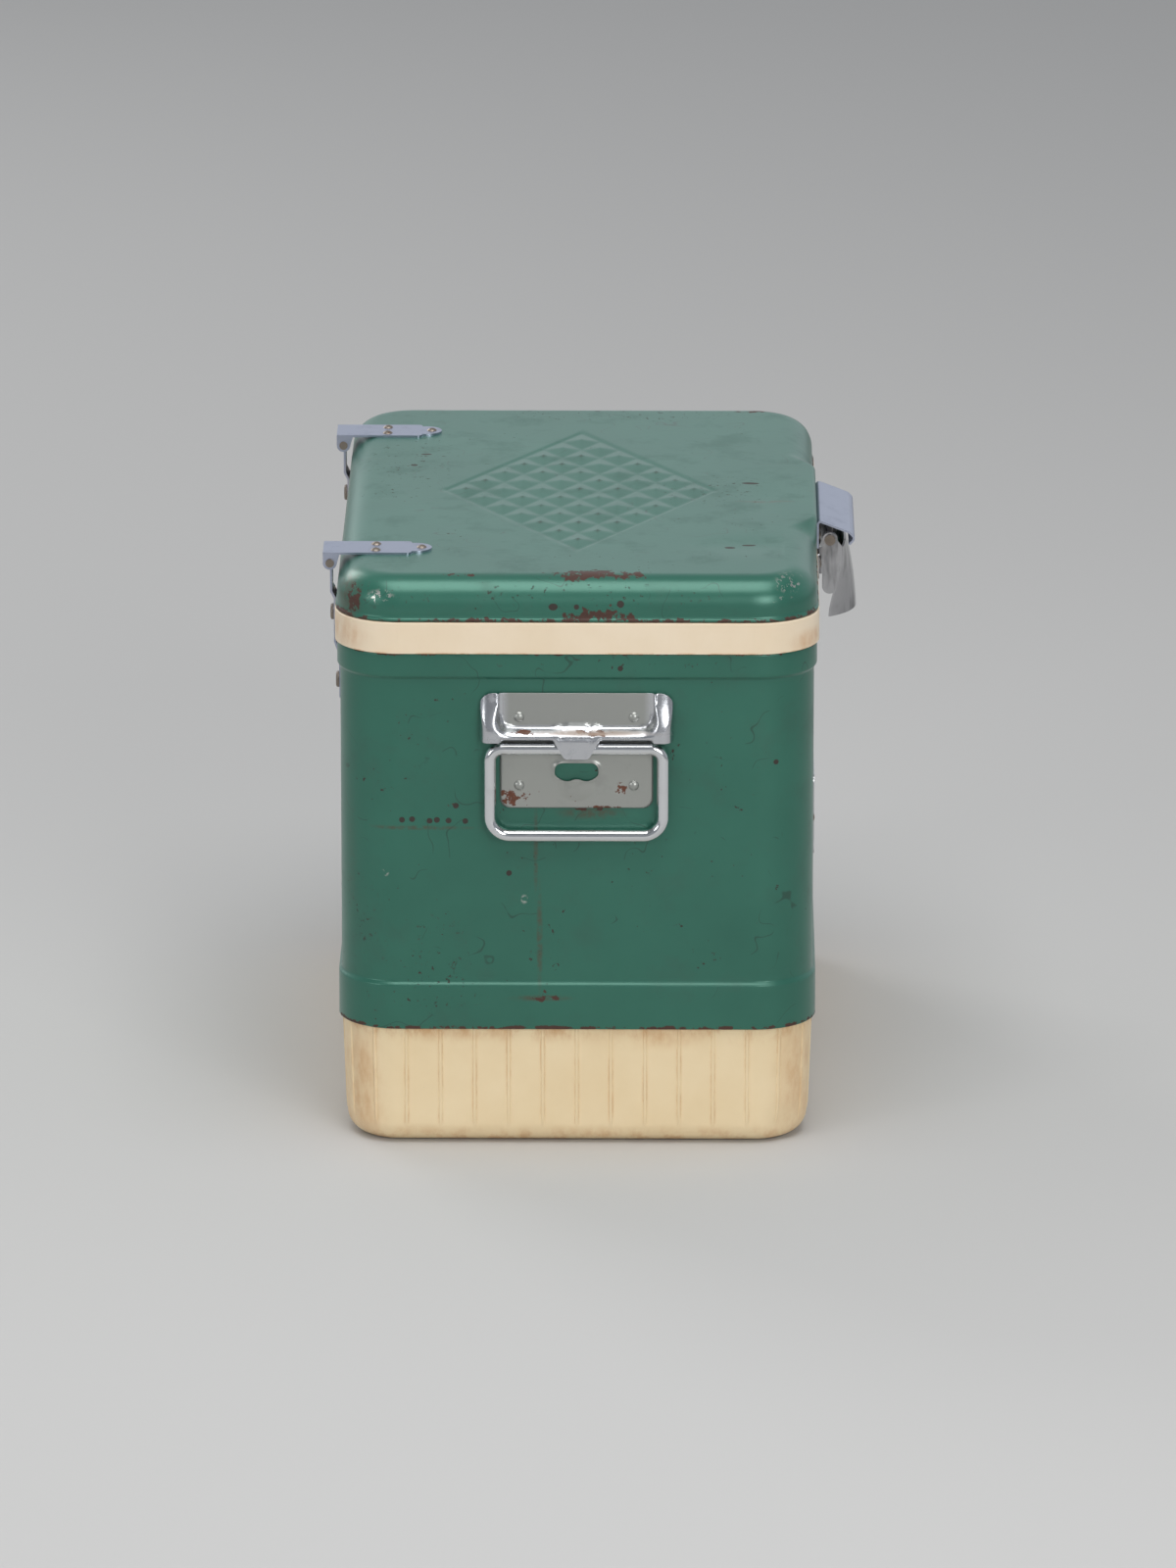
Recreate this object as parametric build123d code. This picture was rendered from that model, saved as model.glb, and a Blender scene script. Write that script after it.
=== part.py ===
from build123d import *
import math
import os

# Steel picnic ice chest with a hinged lid, a front latch and a drop handle on each end.
# Millimetres. The origin is the centre of the base's underside, +Z is up, +X is the latch
# side, -X the hinge side, and the two handles are on the -Y and +Y ends.

# Overall size, and the heights of the parts that stand on each other
JACKET_LENGTH = 486.0
JACKET_WIDTH = 326.0
CORNER_RADIUS = 41.0
BASE_HEIGHT = 85.0
JACKET_HEIGHT = 269.0
BAND_HEIGHT = 22.0
LID_HEIGHT = 29.6
LID_GAP = 0.4

# Sheet and wall thicknesses
STEEL = 0.9
PLASTIC = 2.5
FOAM_WALL = 24.0
FLOOR_FOAM = 27.5

# Clearances
FIT_GAP = 0.3
PIN_GAP = 0.05
RIVET_GAP = 0.1
PLUG_GAP = 4.0

# Base tub
BASE_TAPER = 2.0
BASE_INSET = 1.0
BASE_EDGE_RADIUS = 16.0
BASE_TUCK = 20.0
RIB_PITCH = 23.4
RIB_WIDTH = 1.8
RIB_HEIGHT = 0.7
RIB_TOP_MARGIN = 3.0

# Jacket
STEP_HEIGHT = 2.0
FLARE_HEIGHT = 36.0
BEAD_HEIGHT = 16.0
STEP_SLOPE = 5.0
HEM_DEPTH = 3.0
TUCK_HEIGHT = 16.0

# Rim band and liner
BAND_PROUD = 3.5
BAND_EDGE_RADIUS = 1.0
LINER_EDGE_RADIUS = 8.0

# Lid
LID_OVERHANG = 2.0
LID_ROLL = 20.0
LID_HEM = 2.4
LID_HEM_PROUD = 1.2
LID_HEM_FLAT = 0.12
LID_PLUG_DEPTH = 10.0
LID_PLUG_RADIUS = 5.0
GASKET_WIDTH = 14.0
GASKET_GAP = 0.3
GASKET_HEIGHT = 2.4
PAD_WIDTH = 132.0
PAD_DEPTH = 22.0
PAD_PROUD = 1.0
PAD_ROUND = 3.0
DIAMOND_LENGTH = 323.0
DIAMOND_WIDTH = 187.0
DIAMOND_CELLS = 7
PYRAMID_HEIGHT = 1.2

# Rivets and screws
RIVET_SHANK = 2.0
RIVET_HEAD = 3.6
RIVET_DOME = 1.7
TAIL_RADIUS = 2.9
TAIL_HEIGHT = 1.3
SCREW_SHANK = 2.2
SCREW_HEAD = 5.6
SCREW_HEAD_HEIGHT = 2.6
SCREW_HEAD_ROUND = 1.56
SCREW_LENGTH = 11.0
SCREW_SLOT = 1.1

# Hinges
HINGE_SPACING = 326.0
HINGE_SHEET = 1.5
STRAP_WIDTH = 31.0
STRAP_TONGUE = 22.0
STRAP_CORNER = 3.0
STRAP_BACK = 4.8
STRAP_SHOULDER = 56.0
STRAP_REACH = 70.0
STRAP_RIVET_ROW = 31.5
STRAP_RIVET_PITCH = 16.0
STRAP_TIP_RIVET = 63.0
CHEEK_WIDTH = 12.0
BARREL_RADIUS = 4.9
PIN_RADIUS = 2.3
PIN_HEAD = 2.9
PIN_HEAD_HEIGHT = 1.0
PIN_DROP = 6.0
LEAF_STANDOFF = 2.5
LEAF_WIDTH = 24.0
LEAF_STEP = 5.0
LEAF_STEP_DEPTH = 2.0
LEAF_DROP = 51.0
LEAF_SCREW_RISE = 7.5
LEAF_SCREW_DROP = 41.0

# Handles
HANDLE_SHEET = 1.2
HANDLE_DROP = 28.0
HOUSING_WIDTH = 133.0
HOUSING_HEIGHT = 33.2
PLATE_WIDTH = 105.0
PLATE_DROP = 43.5
PLATE_LAP = 6.0
PLATE_RADIUS = 7.0
BAIL_WIRE = 8.6
BAIL_DROP = 62.0
BAIL_RADIUS = 13.7
BAIL_ELBOW = 8.5
BAIL_GAP = 0.5
BAIL_SIDE_GAP = 1.5
BAIL_JOINT_GAP = 4.0
LIP_GAP = 0.7
RIDGE_HEIGHT = 10.7
RIDGE_ROUND = 4.5
COLUMN_WIDTH = 14.0
COLUMN_ROUND = 5.5
PANEL_RADIUS = 12.0
LIP_WIDTH = 96.0
HANDLE_RIVET_PITCH = 78.6
HANDLE_RIVET_RISE = 21.5
HANDLE_RIVET_DROP = 27.5
OPENER_WIDTH = 30.0
OPENER_HEIGHT = 12.0
OPENER_RADIUS = 4.8
OPENER_DROP = 17.5
TAB_WIDTH = 20.0
CRIMP_RADIUS = 11.0
CRIMP_HEIGHT = 1.6

# Latch
LATCH_SHEET = 1.5
SHEET_BEND = 2.0
KEEPER_RISE = 2.1
KEEPER_RIVET_RISE = 7.5
KEEPER_RIVETS = (92.0, 50.0)
HOOD_WIDTH = 111.0
HOOD_SINK = 7.5
HOOD_REACH = 22.0
HOOD_DROP = 8.5
HOOD_CURL = 8.6
HOOD_CURL_BEND = 3.0
HASP_WIDTH = 38.0
HASP_WINDOW = 26.0
HASP_RISE = 8.9
HASP_DROP = 31.5
HASP_BAR = 5.0
HASP_TOP_BAR = 6.0
HASP_GAP = 1.1
PIVOT_RISE = 4.0
EAR_SPACING = 74.0
EAR_WIDTH = 10.8
EAR_DROP = 39.0
EAR_REACH = 2.1
LATCH_PIN = 2.4
LATCH_PIN_HEAD = 3.8
BRACKET_WIDTH = 108.0
BRACKET_MARGIN = 1.5
BRACKET_RADIUS = 3.0
BRACKET_RIVETS = (92.0, 34.0)
LEVER_GAP = 0.45
LEVER_SHEET = 1.3
TONGUE_WIDTH = 16.0
TONGUE_SHEET = 2.4
TONGUE_RISE = 1.2
TONGUE_GAP = 1.6
# Lever skin sections from top to bottom: drop below the pin, then how far the middle and the ends
# stand out beyond the pin
LEVER_SECTIONS = ((6.0, 11.5, 9.0), (18.0, 14.5, 8.5), (37.0, 17.5, 4.0), (56.0, 19.0, 0.5))

# Name plate on the front
BADGE_LENGTH = 120.0
BADGE_HEIGHT = 70.0
BADGE_RISE = 97.0
BADGE_SHEET = 1.0
BADGE_DOME = 1.4
BADGE_RADIUS = 10.0
BADGE_END_RIM = 12.0
BADGE_SIDE_RIM = 6.0
BADGE_DOME_RADIUS = 5.0
BADGE_DOME_SLOPE = 10.0
BADGE_RIVET_PITCH = 104.0

# Drain on the far end
DRAIN_BORE = 6.0
DRAIN_TUBE = 8.0
DRAIN_FLANGE = 10.0
DRAIN_FLANGE_SHEET = 2.0
DRAIN_RISE = 16.0
DRAIN_BOSS = 16.0
DRAIN_BOSS_HEIGHT = 1.2
DRAIN_PROUD = 1.0
NUT_RADIUS = 13.0
NUT_HEIGHT = 5.0
WASHER_RADIUS = 14.0
WASHER_SHEET = 1.6
PLUG_HEAD = 11.0
PLUG_HEAD_HEIGHT = 4.0
PLUG_HEAD_ROUND = 1.5
PLUG_LENGTH = 7.0
PLUG_FIT = 0.08

# Places worked out from the sizes above
BAND_BOTTOM = BASE_HEIGHT + JACKET_HEIGHT
BAND_TOP = BAND_BOTTOM + BAND_HEIGHT
LID_BOTTOM = BAND_TOP + LID_GAP
HEIGHT = LID_BOTTOM + LID_HEIGHT
FLARE_TOP = BASE_HEIGHT + FLARE_HEIGHT
BEAD_BOTTOM = BAND_BOTTOM - BEAD_HEIGHT
HALF_X = JACKET_WIDTH / 2
HALF_Y = JACKET_LENGTH / 2
BAND_X = HALF_X + BAND_PROUD
LID_X = HALF_X + LID_OVERHANG
LINER_X = HALF_X - STEEL - FOAM_WALL
LINER_Y = HALF_Y - STEEL - FOAM_WALL
LINER_FLOOR = PLASTIC + FLOOR_FOAM
LINER_RADIUS = CORNER_RADIUS - FOAM_WALL / 2
PAD_FACE = LID_X + PAD_PROUD
PIN_X = -(BAND_X + LEAF_STANDOFF + HINGE_SHEET)
PIN_Z = HEIGHT - PIN_DROP
LATCH_X = BAND_X + LATCH_SHEET + EAR_REACH + EAR_WIDTH / 2
LATCH_Z = BAND_TOP + PIVOT_RISE
KEEPER_BOTTOM = LID_BOTTOM + KEEPER_RISE
BRACKET_MIDDLE = BAND_BOTTOM + BAND_HEIGHT / 2
HASP_X = LATCH_X + LATCH_PIN + HASP_GAP
HASP_BOTTOM = LATCH_Z - HASP_DROP
LEVER_WIDTH = EAR_SPACING - LATCH_SHEET - 2 * LEVER_GAP
HOUSING_TOP = BAND_BOTTOM - HANDLE_DROP
HOUSING_LOW = HOUSING_TOP - HOUSING_HEIGHT
BAIL_Y = HALF_Y + HANDLE_SHEET + BAIL_GAP + BAIL_WIRE / 2
BAIL_Z = HOUSING_LOW - 2 * BAIL_GAP - BAIL_WIRE / 2
BAIL_WIDTH = HOUSING_WIDTH - 2 * (HANDLE_SHEET + BAIL_SIDE_GAP)
RIDGE_DEPTH = BAIL_GAP + BAIL_WIRE + LIP_GAP + HANDLE_SHEET
OPENER_Z = BAIL_Z - OPENER_DROP
BADGE_Z = BASE_HEIGHT + BADGE_RISE
DRAIN_Z = LINER_FLOOR + PLASTIC + DRAIN_RISE
DRAIN_SEAT = (HALF_Y - BASE_INSET - (BASE_HEIGHT - DRAIN_Z) * math.tan(math.radians(BASE_TAPER))
              + DRAIN_BOSS_HEIGHT)
DRAIN_END = DRAIN_SEAT + WASHER_SHEET + NUT_HEIGHT + DRAIN_PROUD


def ring_block(inset, low, high, corner=CORNER_RADIUS):
    """Rounded rectangular block whose sides stand inset inside the jacket's flat sides."""
    radius = corner - inset
    sketch = RectangleRounded(JACKET_WIDTH - 2 * inset, JACKET_LENGTH - 2 * inset, radius)
    return Pos(0, 0, low) * extrude(sketch, high - low)


def bevel_block(low_inset, high_inset, low, high):
    """Rounded block that slopes from one inset at its foot to another at its top."""
    foot = RectangleRounded(
        JACKET_WIDTH - 2 * low_inset, JACKET_LENGTH - 2 * low_inset, CORNER_RADIUS - low_inset)
    slope = math.degrees(math.atan2(high_inset - low_inset, high - low))
    return Pos(0, 0, low) * extrude(foot, high - low, taper=slope)


def stack(bands):
    """Fuse rounded blocks, each (low inset, high inset, low, high), into one pillar."""
    blocks = []
    for low_inset, high_inset, low, high in bands:
        if low_inset == high_inset:
            blocks.append(ring_block(low_inset, low, high))
        else:
            blocks.append(bevel_block(low_inset, high_inset, low, high))
    return blocks[0] + blocks[1:]


def bent_strip(points, radii, sheet, width):
    """Sheet strip: centre line of (x, z) points with bend radii, as wide as width along Y."""
    corners = [Vector(x, z) for x, z in points]
    line = FilletPolyline(*corners, radius=radii) if radii else Polyline(*corners)
    face = Plane.XZ * trace(line, sheet)
    return extrude(face, width / 2, both=True)


def rod(centre, axis, radius, length):
    """Cylinder of the given radius centred on a point, lying along axis 'X', 'Y' or 'Z'."""
    turn = {"X": Rot(0, 90, 0), "Y": Rot(90, 0, 0), "Z": Rot(0, 0, 0)}[axis]
    return Pos(*centre) * turn * Cylinder(radius, length)


def rivet(foot, outward, grip):
    """Domed rivet: head on the outer face at foot, shank through grip, upset tail inside."""
    dome_radius = (RIVET_HEAD ** 2 + RIVET_DOME ** 2) / (2 * RIVET_DOME)
    dome = Pos(0, 0, RIVET_DOME - dome_radius) * Sphere(dome_radius)
    cap = Pos(0, 0, RIVET_DOME / 2) * Cylinder(RIVET_HEAD, RIVET_DOME)
    shank = Pos(0, 0, -grip / 2) * Cylinder(RIVET_SHANK, grip)
    tail = Pos(0, 0, -grip - TAIL_HEIGHT / 2) * Cylinder(TAIL_RADIUS, TAIL_HEIGHT)
    return Plane(origin=foot, z_dir=outward) * ((dome & cap) + shank + tail)


def rivet_hole(foot, outward, grip):
    """Clearance hole through everything that the rivet clamps."""
    hole = Pos(0, 0, -grip / 2) * Cylinder(RIVET_SHANK + RIVET_GAP, grip + 2 * FIT_GAP)
    return Plane(origin=foot, z_dir=outward) * hole


def tail_pocket(foot, outward, grip):
    """Room that the foam leaves around a rivet's tail."""
    depth = TAIL_HEIGHT + 2 * FIT_GAP
    pocket = Pos(0, 0, -grip - depth / 2 + FIT_GAP) * Cylinder(TAIL_RADIUS + FIT_GAP, depth)
    return Plane(origin=foot, z_dir=outward) * pocket


def pairs(pitch):
    return (-pitch / 2, pitch / 2)


# Fastener places, shared by the pieces that they clamp: foot, outward direction, grip
NEAR = (0, -1, 0)
HANDLE_RIVETS = [
    ((x, -HALF_Y - HANDLE_SHEET * sheets, z), NEAR, HANDLE_SHEET * sheets + STEEL)
    for z, sheets in ((BAIL_Z + HANDLE_RIVET_RISE, 2), (BAIL_Z - HANDLE_RIVET_DROP, 1))
    for x in pairs(HANDLE_RIVET_PITCH)
]
BRACKET_FIXINGS = [
    ((BAND_X + LATCH_SHEET, y, BRACKET_MIDDLE), (1, 0, 0), LATCH_SHEET + BAND_PROUD + STEEL)
    for pitch in BRACKET_RIVETS for y in pairs(pitch)
]
KEEPER_FIXINGS = [
    ((PAD_FACE + LATCH_SHEET, y, KEEPER_BOTTOM + KEEPER_RIVET_RISE), (1, 0, 0), LATCH_SHEET + STEEL)
    for pitch in KEEPER_RIVETS for y in pairs(pitch)
]
BADGE_FIXINGS = [
    ((HALF_X + BADGE_SHEET, y, BADGE_Z), (1, 0, 0), BADGE_SHEET + STEEL)
    for y in pairs(BADGE_RIVET_PITCH)
]
STRAP_FIXINGS = [
    ((PIN_X + x, side + y, HEIGHT + HINGE_SHEET), (0, 0, 1), HINGE_SHEET + STEEL)
    for side in pairs(HINGE_SPACING)
    for x, y in ((STRAP_RIVET_ROW, -STRAP_RIVET_PITCH / 2), (STRAP_RIVET_ROW, STRAP_RIVET_PITCH / 2),
                 (STRAP_TIP_RIVET, 0))
]
LEAF_SCREWS = [
    (-seat - HINGE_SHEET, side, z)
    for side in pairs(HINGE_SPACING)
    for seat, z in ((BAND_X, BAND_BOTTOM + LEAF_SCREW_RISE), (HALF_X, BAND_BOTTOM - LEAF_SCREW_DROP))
]


def screw(place):
    """Round-head slotted screw driven in along +X."""
    x, y, z = place
    head = rod((x - SCREW_HEAD_HEIGHT / 2, y, z), "X", SCREW_HEAD, SCREW_HEAD_HEIGHT)
    outer_rim = head.faces().sort_by(Axis.X)[0].edges()
    head = fillet(outer_rim, SCREW_HEAD_ROUND)
    slot = Pos(x - SCREW_HEAD_HEIGHT, y, z) * Box(SCREW_HEAD_HEIGHT, SCREW_SLOT, 2 * SCREW_HEAD)
    shank = rod((x + SCREW_LENGTH / 2, y, z), "X", SCREW_SHANK, SCREW_LENGTH)
    return head - slot + shank


def screw_hole(place, gap):
    x, y, z = place
    return rod((x + SCREW_LENGTH / 2, y, z), "X", SCREW_SHANK + gap, SCREW_LENGTH + 2 * FIT_GAP)


# Base tub
def tub_block(wall):
    """Tapered tub block, drawn in by the wall thickness, with a rounded lower edge."""
    top_inset = BASE_INSET + wall
    foot_inset = top_inset + BASE_HEIGHT * math.tan(math.radians(BASE_TAPER))
    cup = bevel_block(foot_inset, top_inset, wall, BASE_HEIGHT)
    cup = fillet(cup.faces().sort_by(Axis.Z)[0].edges(), BASE_EDGE_RADIUS - wall)
    return cup + ring_block(top_inset, BASE_HEIGHT, BASE_HEIGHT + BASE_TUCK)


def rib_places():
    """Rib centres along the flat of each wall, as (place, turn, distance of the wall)."""
    places = []
    for half, span, turn in ((HALF_Y, JACKET_WIDTH, 0), (HALF_X, JACKET_LENGTH, 90)):
        flat = span - 2 * CORNER_RADIUS
        count = int(flat / RIB_PITCH)
        for index in range(count + 1):
            along = (index - count / 2) * RIB_PITCH
            places += [(along, turn, half), (along, turn + 180, half)]
    return places


def base_ribs():
    low = BASE_EDGE_RADIUS
    high = BASE_HEIGHT - RIB_TOP_MARGIN
    ribs = []
    for along, turn, half in rib_places():
        foot = half - BASE_INSET - (BASE_HEIGHT - low) * math.tan(math.radians(BASE_TAPER))
        bar = Pos(0, 0, (high - low) / 2) * Cylinder(RIB_WIDTH / 2, high - low)
        bar = Rot(BASE_TAPER, 0, 0) * Pos(0, RIB_WIDTH / 2 - RIB_HEIGHT, 0) * bar
        ribs.append(Rot(0, 0, turn) * Pos(along, -foot, low) * bar)
    return ribs


def base_tub():
    boss = rod((0, DRAIN_SEAT - FOAM_WALL / 2, DRAIN_Z), "Y", DRAIN_BOSS, FOAM_WALL)
    shell = tub_block(0) + base_ribs() + boss
    bore = rod((0, HALF_Y, DRAIN_Z), "Y", DRAIN_TUBE + RIVET_GAP, 2 * FOAM_WALL)
    return shell - tub_block(PLASTIC) - bore


# Jacket and rim band
def jacket_profile(wall):
    """Outer form of the jacket, drawn in by wall: lower flare, plain side, bead and tuck."""
    flare = -STEP_HEIGHT + wall
    return stack((
        (flare, flare, BASE_HEIGHT, FLARE_TOP - STEP_SLOPE),
        (flare, wall, FLARE_TOP - STEP_SLOPE, FLARE_TOP),
        (wall, wall, FLARE_TOP, BEAD_BOTTOM),
        (wall, flare, BEAD_BOTTOM, BEAD_BOTTOM + STEP_SLOPE),
        (flare, flare, BEAD_BOTTOM + STEP_SLOPE, BAND_BOTTOM),
        (wall, wall, BAND_BOTTOM, BAND_BOTTOM + TUCK_HEIGHT),
    ))


def outer_jacket():
    jacket = jacket_profile(0)
    shoulder = ring_block(STEEL, BAND_BOTTOM - STEEL, BAND_BOTTOM + STEEL)
    ledge = ring_block(-STEP_HEIGHT, BAND_BOTTOM - STEEL, BAND_BOTTOM) - shoulder
    jacket -= jacket_profile(STEEL) - ledge
    hem = ring_block(-STEP_HEIGHT, BASE_HEIGHT, BASE_HEIGHT + HEM_DEPTH)
    hem -= ring_block(BASE_INSET - FIT_GAP, BASE_HEIGHT, BASE_HEIGHT + HEM_DEPTH)
    jacket += hem
    for spec in HANDLE_RIVETS:
        jacket -= rivet_hole(*spec)
        jacket -= Rot(0, 0, 180) * rivet_hole(*spec)
    for spec in BADGE_FIXINGS + BRACKET_FIXINGS:
        jacket -= rivet_hole(*spec)
    for place in LEAF_SCREWS:
        jacket -= screw_hole(place, RIVET_GAP)
    return jacket


def rim_band():
    """Moulded collar: a skirt outside the jacket's tuck and a top that covers the liner flange."""
    skirt = ring_block(-BAND_PROUD, BAND_BOTTOM, BAND_TOP)
    skirt = fillet(skirt.faces().sort_by(Axis.Z)[-1].edges(), BAND_EDGE_RADIUS)
    skirt -= ring_block(-FIT_GAP, BAND_BOTTOM, BAND_TOP - PLASTIC)
    skirt -= liner_block(PLASTIC, BAND_BOTTOM, BAND_TOP)
    for spec in BRACKET_FIXINGS:
        skirt -= rivet_hole(*spec)
    for place in LEAF_SCREWS:
        skirt -= screw_hole(place, RIVET_GAP)
    return skirt


# Liner and insulation
def liner_block(wall, low, high):
    sketch = RectangleRounded(2 * (LINER_X - wall), 2 * (LINER_Y - wall), LINER_RADIUS - wall)
    return Pos(0, 0, low) * extrude(sketch, high - low)


def drain_bore(radius):
    return rod((0, LINER_Y, DRAIN_Z), "Y", radius, 4 * PLASTIC)


def inner_liner():
    top = BAND_TOP - PLASTIC
    cup = liner_block(0, LINER_FLOOR, top)
    cup = fillet(cup.faces().sort_by(Axis.Z)[0].edges(), LINER_EDGE_RADIUS)
    flange = ring_block(STEEL + PLASTIC, top - PLASTIC, top)
    hollow = liner_block(PLASTIC, LINER_FLOOR + PLASTIC, top)
    hollow = fillet(hollow.faces().sort_by(Axis.Z)[0].edges(), LINER_EDGE_RADIUS - PLASTIC)
    return cup + flange - hollow - drain_bore(DRAIN_TUBE + RIVET_GAP)


def body_foam():
    """Insulation between the liner and the outside, with room around every fixing."""
    top = BAND_TOP - 2 * PLASTIC
    gap = STEEL + FIT_GAP
    foam = ring_block(gap, BASE_HEIGHT + BASE_TUCK + FIT_GAP, top)
    tub_top = BASE_INSET + PLASTIC + FIT_GAP
    tub_foot = tub_top + BASE_HEIGHT * math.tan(math.radians(BASE_TAPER))
    lower = bevel_block(tub_foot, tub_top, PLASTIC, BASE_HEIGHT)
    lower = fillet(lower.faces().sort_by(Axis.Z)[0].edges(), BASE_EDGE_RADIUS - PLASTIC)
    foam += [lower, ring_block(tub_top, BASE_HEIGHT, BASE_HEIGHT + BASE_TUCK + FIT_GAP)]
    cup = liner_block(-FIT_GAP, LINER_FLOOR, top)
    foam -= fillet(cup.faces().sort_by(Axis.Z)[0].edges(), LINER_EDGE_RADIUS)
    for spec in HANDLE_RIVETS:
        foam -= tail_pocket(*spec)
        foam -= Rot(0, 0, 180) * tail_pocket(*spec)
    for spec in BRACKET_FIXINGS + BADGE_FIXINGS:
        foam -= tail_pocket(*spec)
    for place in LEAF_SCREWS:
        foam -= screw_hole(place, FIT_GAP)
    foam -= rod((0, HALF_Y, DRAIN_Z), "Y", DRAIN_TUBE + FIT_GAP, 4 * FOAM_WALL)
    return foam


# Lid
def lid_block(wall):
    """Outer form of the lid with its rolled top edge and the squared pad for the latch."""
    block = ring_block(-LID_OVERHANG + wall, LID_BOTTOM, HEIGHT - wall)
    block = fillet(block.faces().sort_by(Axis.Z)[-1].edges(), LID_ROLL - wall)
    pad_length = PAD_WIDTH - 2 * wall
    placed = (Align.MAX, Align.CENTER, Align.MIN)
    pad = Pos(PAD_FACE - wall, 0, LID_BOTTOM) * Box(PAD_DEPTH, pad_length, LID_HEIGHT - wall, align=placed)
    front = pad.faces().sort_by(Axis.X)[-1].edges()
    pad = fillet(front.filter_by(Axis.Z) + front.sort_by(Axis.Z)[-1:], PAD_ROUND - wall)
    return block + pad


def pyramids():
    """Rows of low four-sided pyramids that fill the rhombus in the middle of the lid."""
    half_long = DIAMOND_LENGTH / DIAMOND_CELLS / 2
    half_wide = DIAMOND_WIDTH / DIAMOND_CELLS / 2
    cell = Polygon((half_wide, 0), (0, half_long), (-half_wide, 0), (0, -half_long), align=None)
    peak = Vertex(0, 0, PYRAMID_HEIGHT)
    shape = Solid.make_loft([cell.wire(), peak])
    cells = []
    for row in range(DIAMOND_CELLS):
        for column in range(DIAMOND_CELLS):
            x = (row - column) * half_wide
            y = (row + column - DIAMOND_CELLS + 1) * half_long
            cells.append(Pos(x, y, HEIGHT) * shape)
    return cells


def lid_shell():
    shell = lid_block(0)
    hem = ring_block(-LID_OVERHANG - LID_HEM_PROUD, LID_BOTTOM, LID_BOTTOM + LID_HEM)
    hem = chamfer(hem.faces().sort_by(Axis.Z)[-1].edges(), LID_HEM_PROUD - LID_HEM_FLAT)
    placed = (Align.MIN, Align.CENTER, Align.CENTER)
    gap = Box(2 * PAD_PROUD, PAD_WIDTH + 4 * PAD_ROUND, 4 * LID_HEM, align=placed)
    shell += hem - Pos(PAD_FACE, 0, LID_BOTTOM) * gap
    shell -= lid_block(STEEL)
    shell += pyramids()
    for spec in STRAP_FIXINGS + KEEPER_FIXINGS:
        shell -= rivet_hole(*spec)
    return shell


def lid_pan():
    """Moulded inner lid: a flange under the shell and a shallow plug that enters the liner."""
    seat = LID_BOTTOM + GASKET_HEIGHT
    flange = ring_block(-LID_OVERHANG + STEEL + FIT_GAP, seat, seat + PLASTIC)
    plug = liner_block(PLASTIC + PLUG_GAP, BAND_TOP - LID_PLUG_DEPTH, seat + PLASTIC)
    plug = fillet(plug.faces().sort_by(Axis.Z)[0].edges(), LID_PLUG_RADIUS)
    hollow = liner_block(2 * PLASTIC + PLUG_GAP, BAND_TOP - LID_PLUG_DEPTH + PLASTIC, seat + PLASTIC)
    return flange + plug - hollow


def lid_foam():
    seat = LID_BOTTOM + GASKET_HEIGHT + PLASTIC
    block = lid_block(STEEL + FIT_GAP)
    block -= ring_block(-LID_OVERHANG, LID_BOTTOM - PLASTIC, seat)
    block += liner_block(2 * PLASTIC + PLUG_GAP + FIT_GAP, BAND_TOP - LID_PLUG_DEPTH + PLASTIC, seat)
    for spec in STRAP_FIXINGS + KEEPER_FIXINGS:
        block -= tail_pocket(*spec)
    return block


def lid_gasket():
    """Flat rubber ring between the lid pan and the rim band."""
    low = BAND_TOP + GASKET_GAP
    high = LID_BOTTOM + GASKET_HEIGHT
    ring = liner_block(PLASTIC - GASKET_WIDTH, low, high)
    return ring - liner_block(PLASTIC + PLUG_GAP - FIT_GAP, low, high)


# Hinges
def hinge_strap(side):
    """Strap on the lid, with two cheeks turned down around the pin."""
    placed = (Align.MIN, Align.CENTER, Align.MIN)
    plate = Box(STRAP_SHOULDER + STRAP_BACK, STRAP_WIDTH, HINGE_SHEET, align=placed)
    plate = fillet(plate.edges().filter_by(Axis.Z), STRAP_CORNER)
    plate = Pos(PIN_X - STRAP_BACK, side, HEIGHT) * plate
    tongue_length = STRAP_REACH - STRAP_TONGUE / 2
    tongue = Box(tongue_length, STRAP_TONGUE, HINGE_SHEET, align=placed)
    tip = Pos(tongue_length, 0, HINGE_SHEET / 2) * Cylinder(STRAP_TONGUE / 2, HINGE_SHEET)
    plate += Pos(PIN_X, side, HEIGHT) * (tongue + tip)
    high = PIN_DROP + HINGE_SHEET
    front = CHEEK_WIDTH - STRAP_BACK
    shape = Polygon((-STRAP_BACK, high), (front, high), (STRAP_BACK, 0), (-STRAP_BACK, 0), align=None)
    shape += Circle(STRAP_BACK)
    for y in pairs(STRAP_WIDTH - HINGE_SHEET):
        plate += Pos(PIN_X, side + y, PIN_Z) * extrude(Plane.XZ * shape, HINGE_SHEET / 2, both=True)
    plate -= rod((PIN_X, side, PIN_Z), "Y", PIN_RADIUS + PIN_GAP, 2 * STRAP_WIDTH)
    for spec in STRAP_FIXINGS:
        plate -= rivet_hole(*spec)
    return plate


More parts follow.
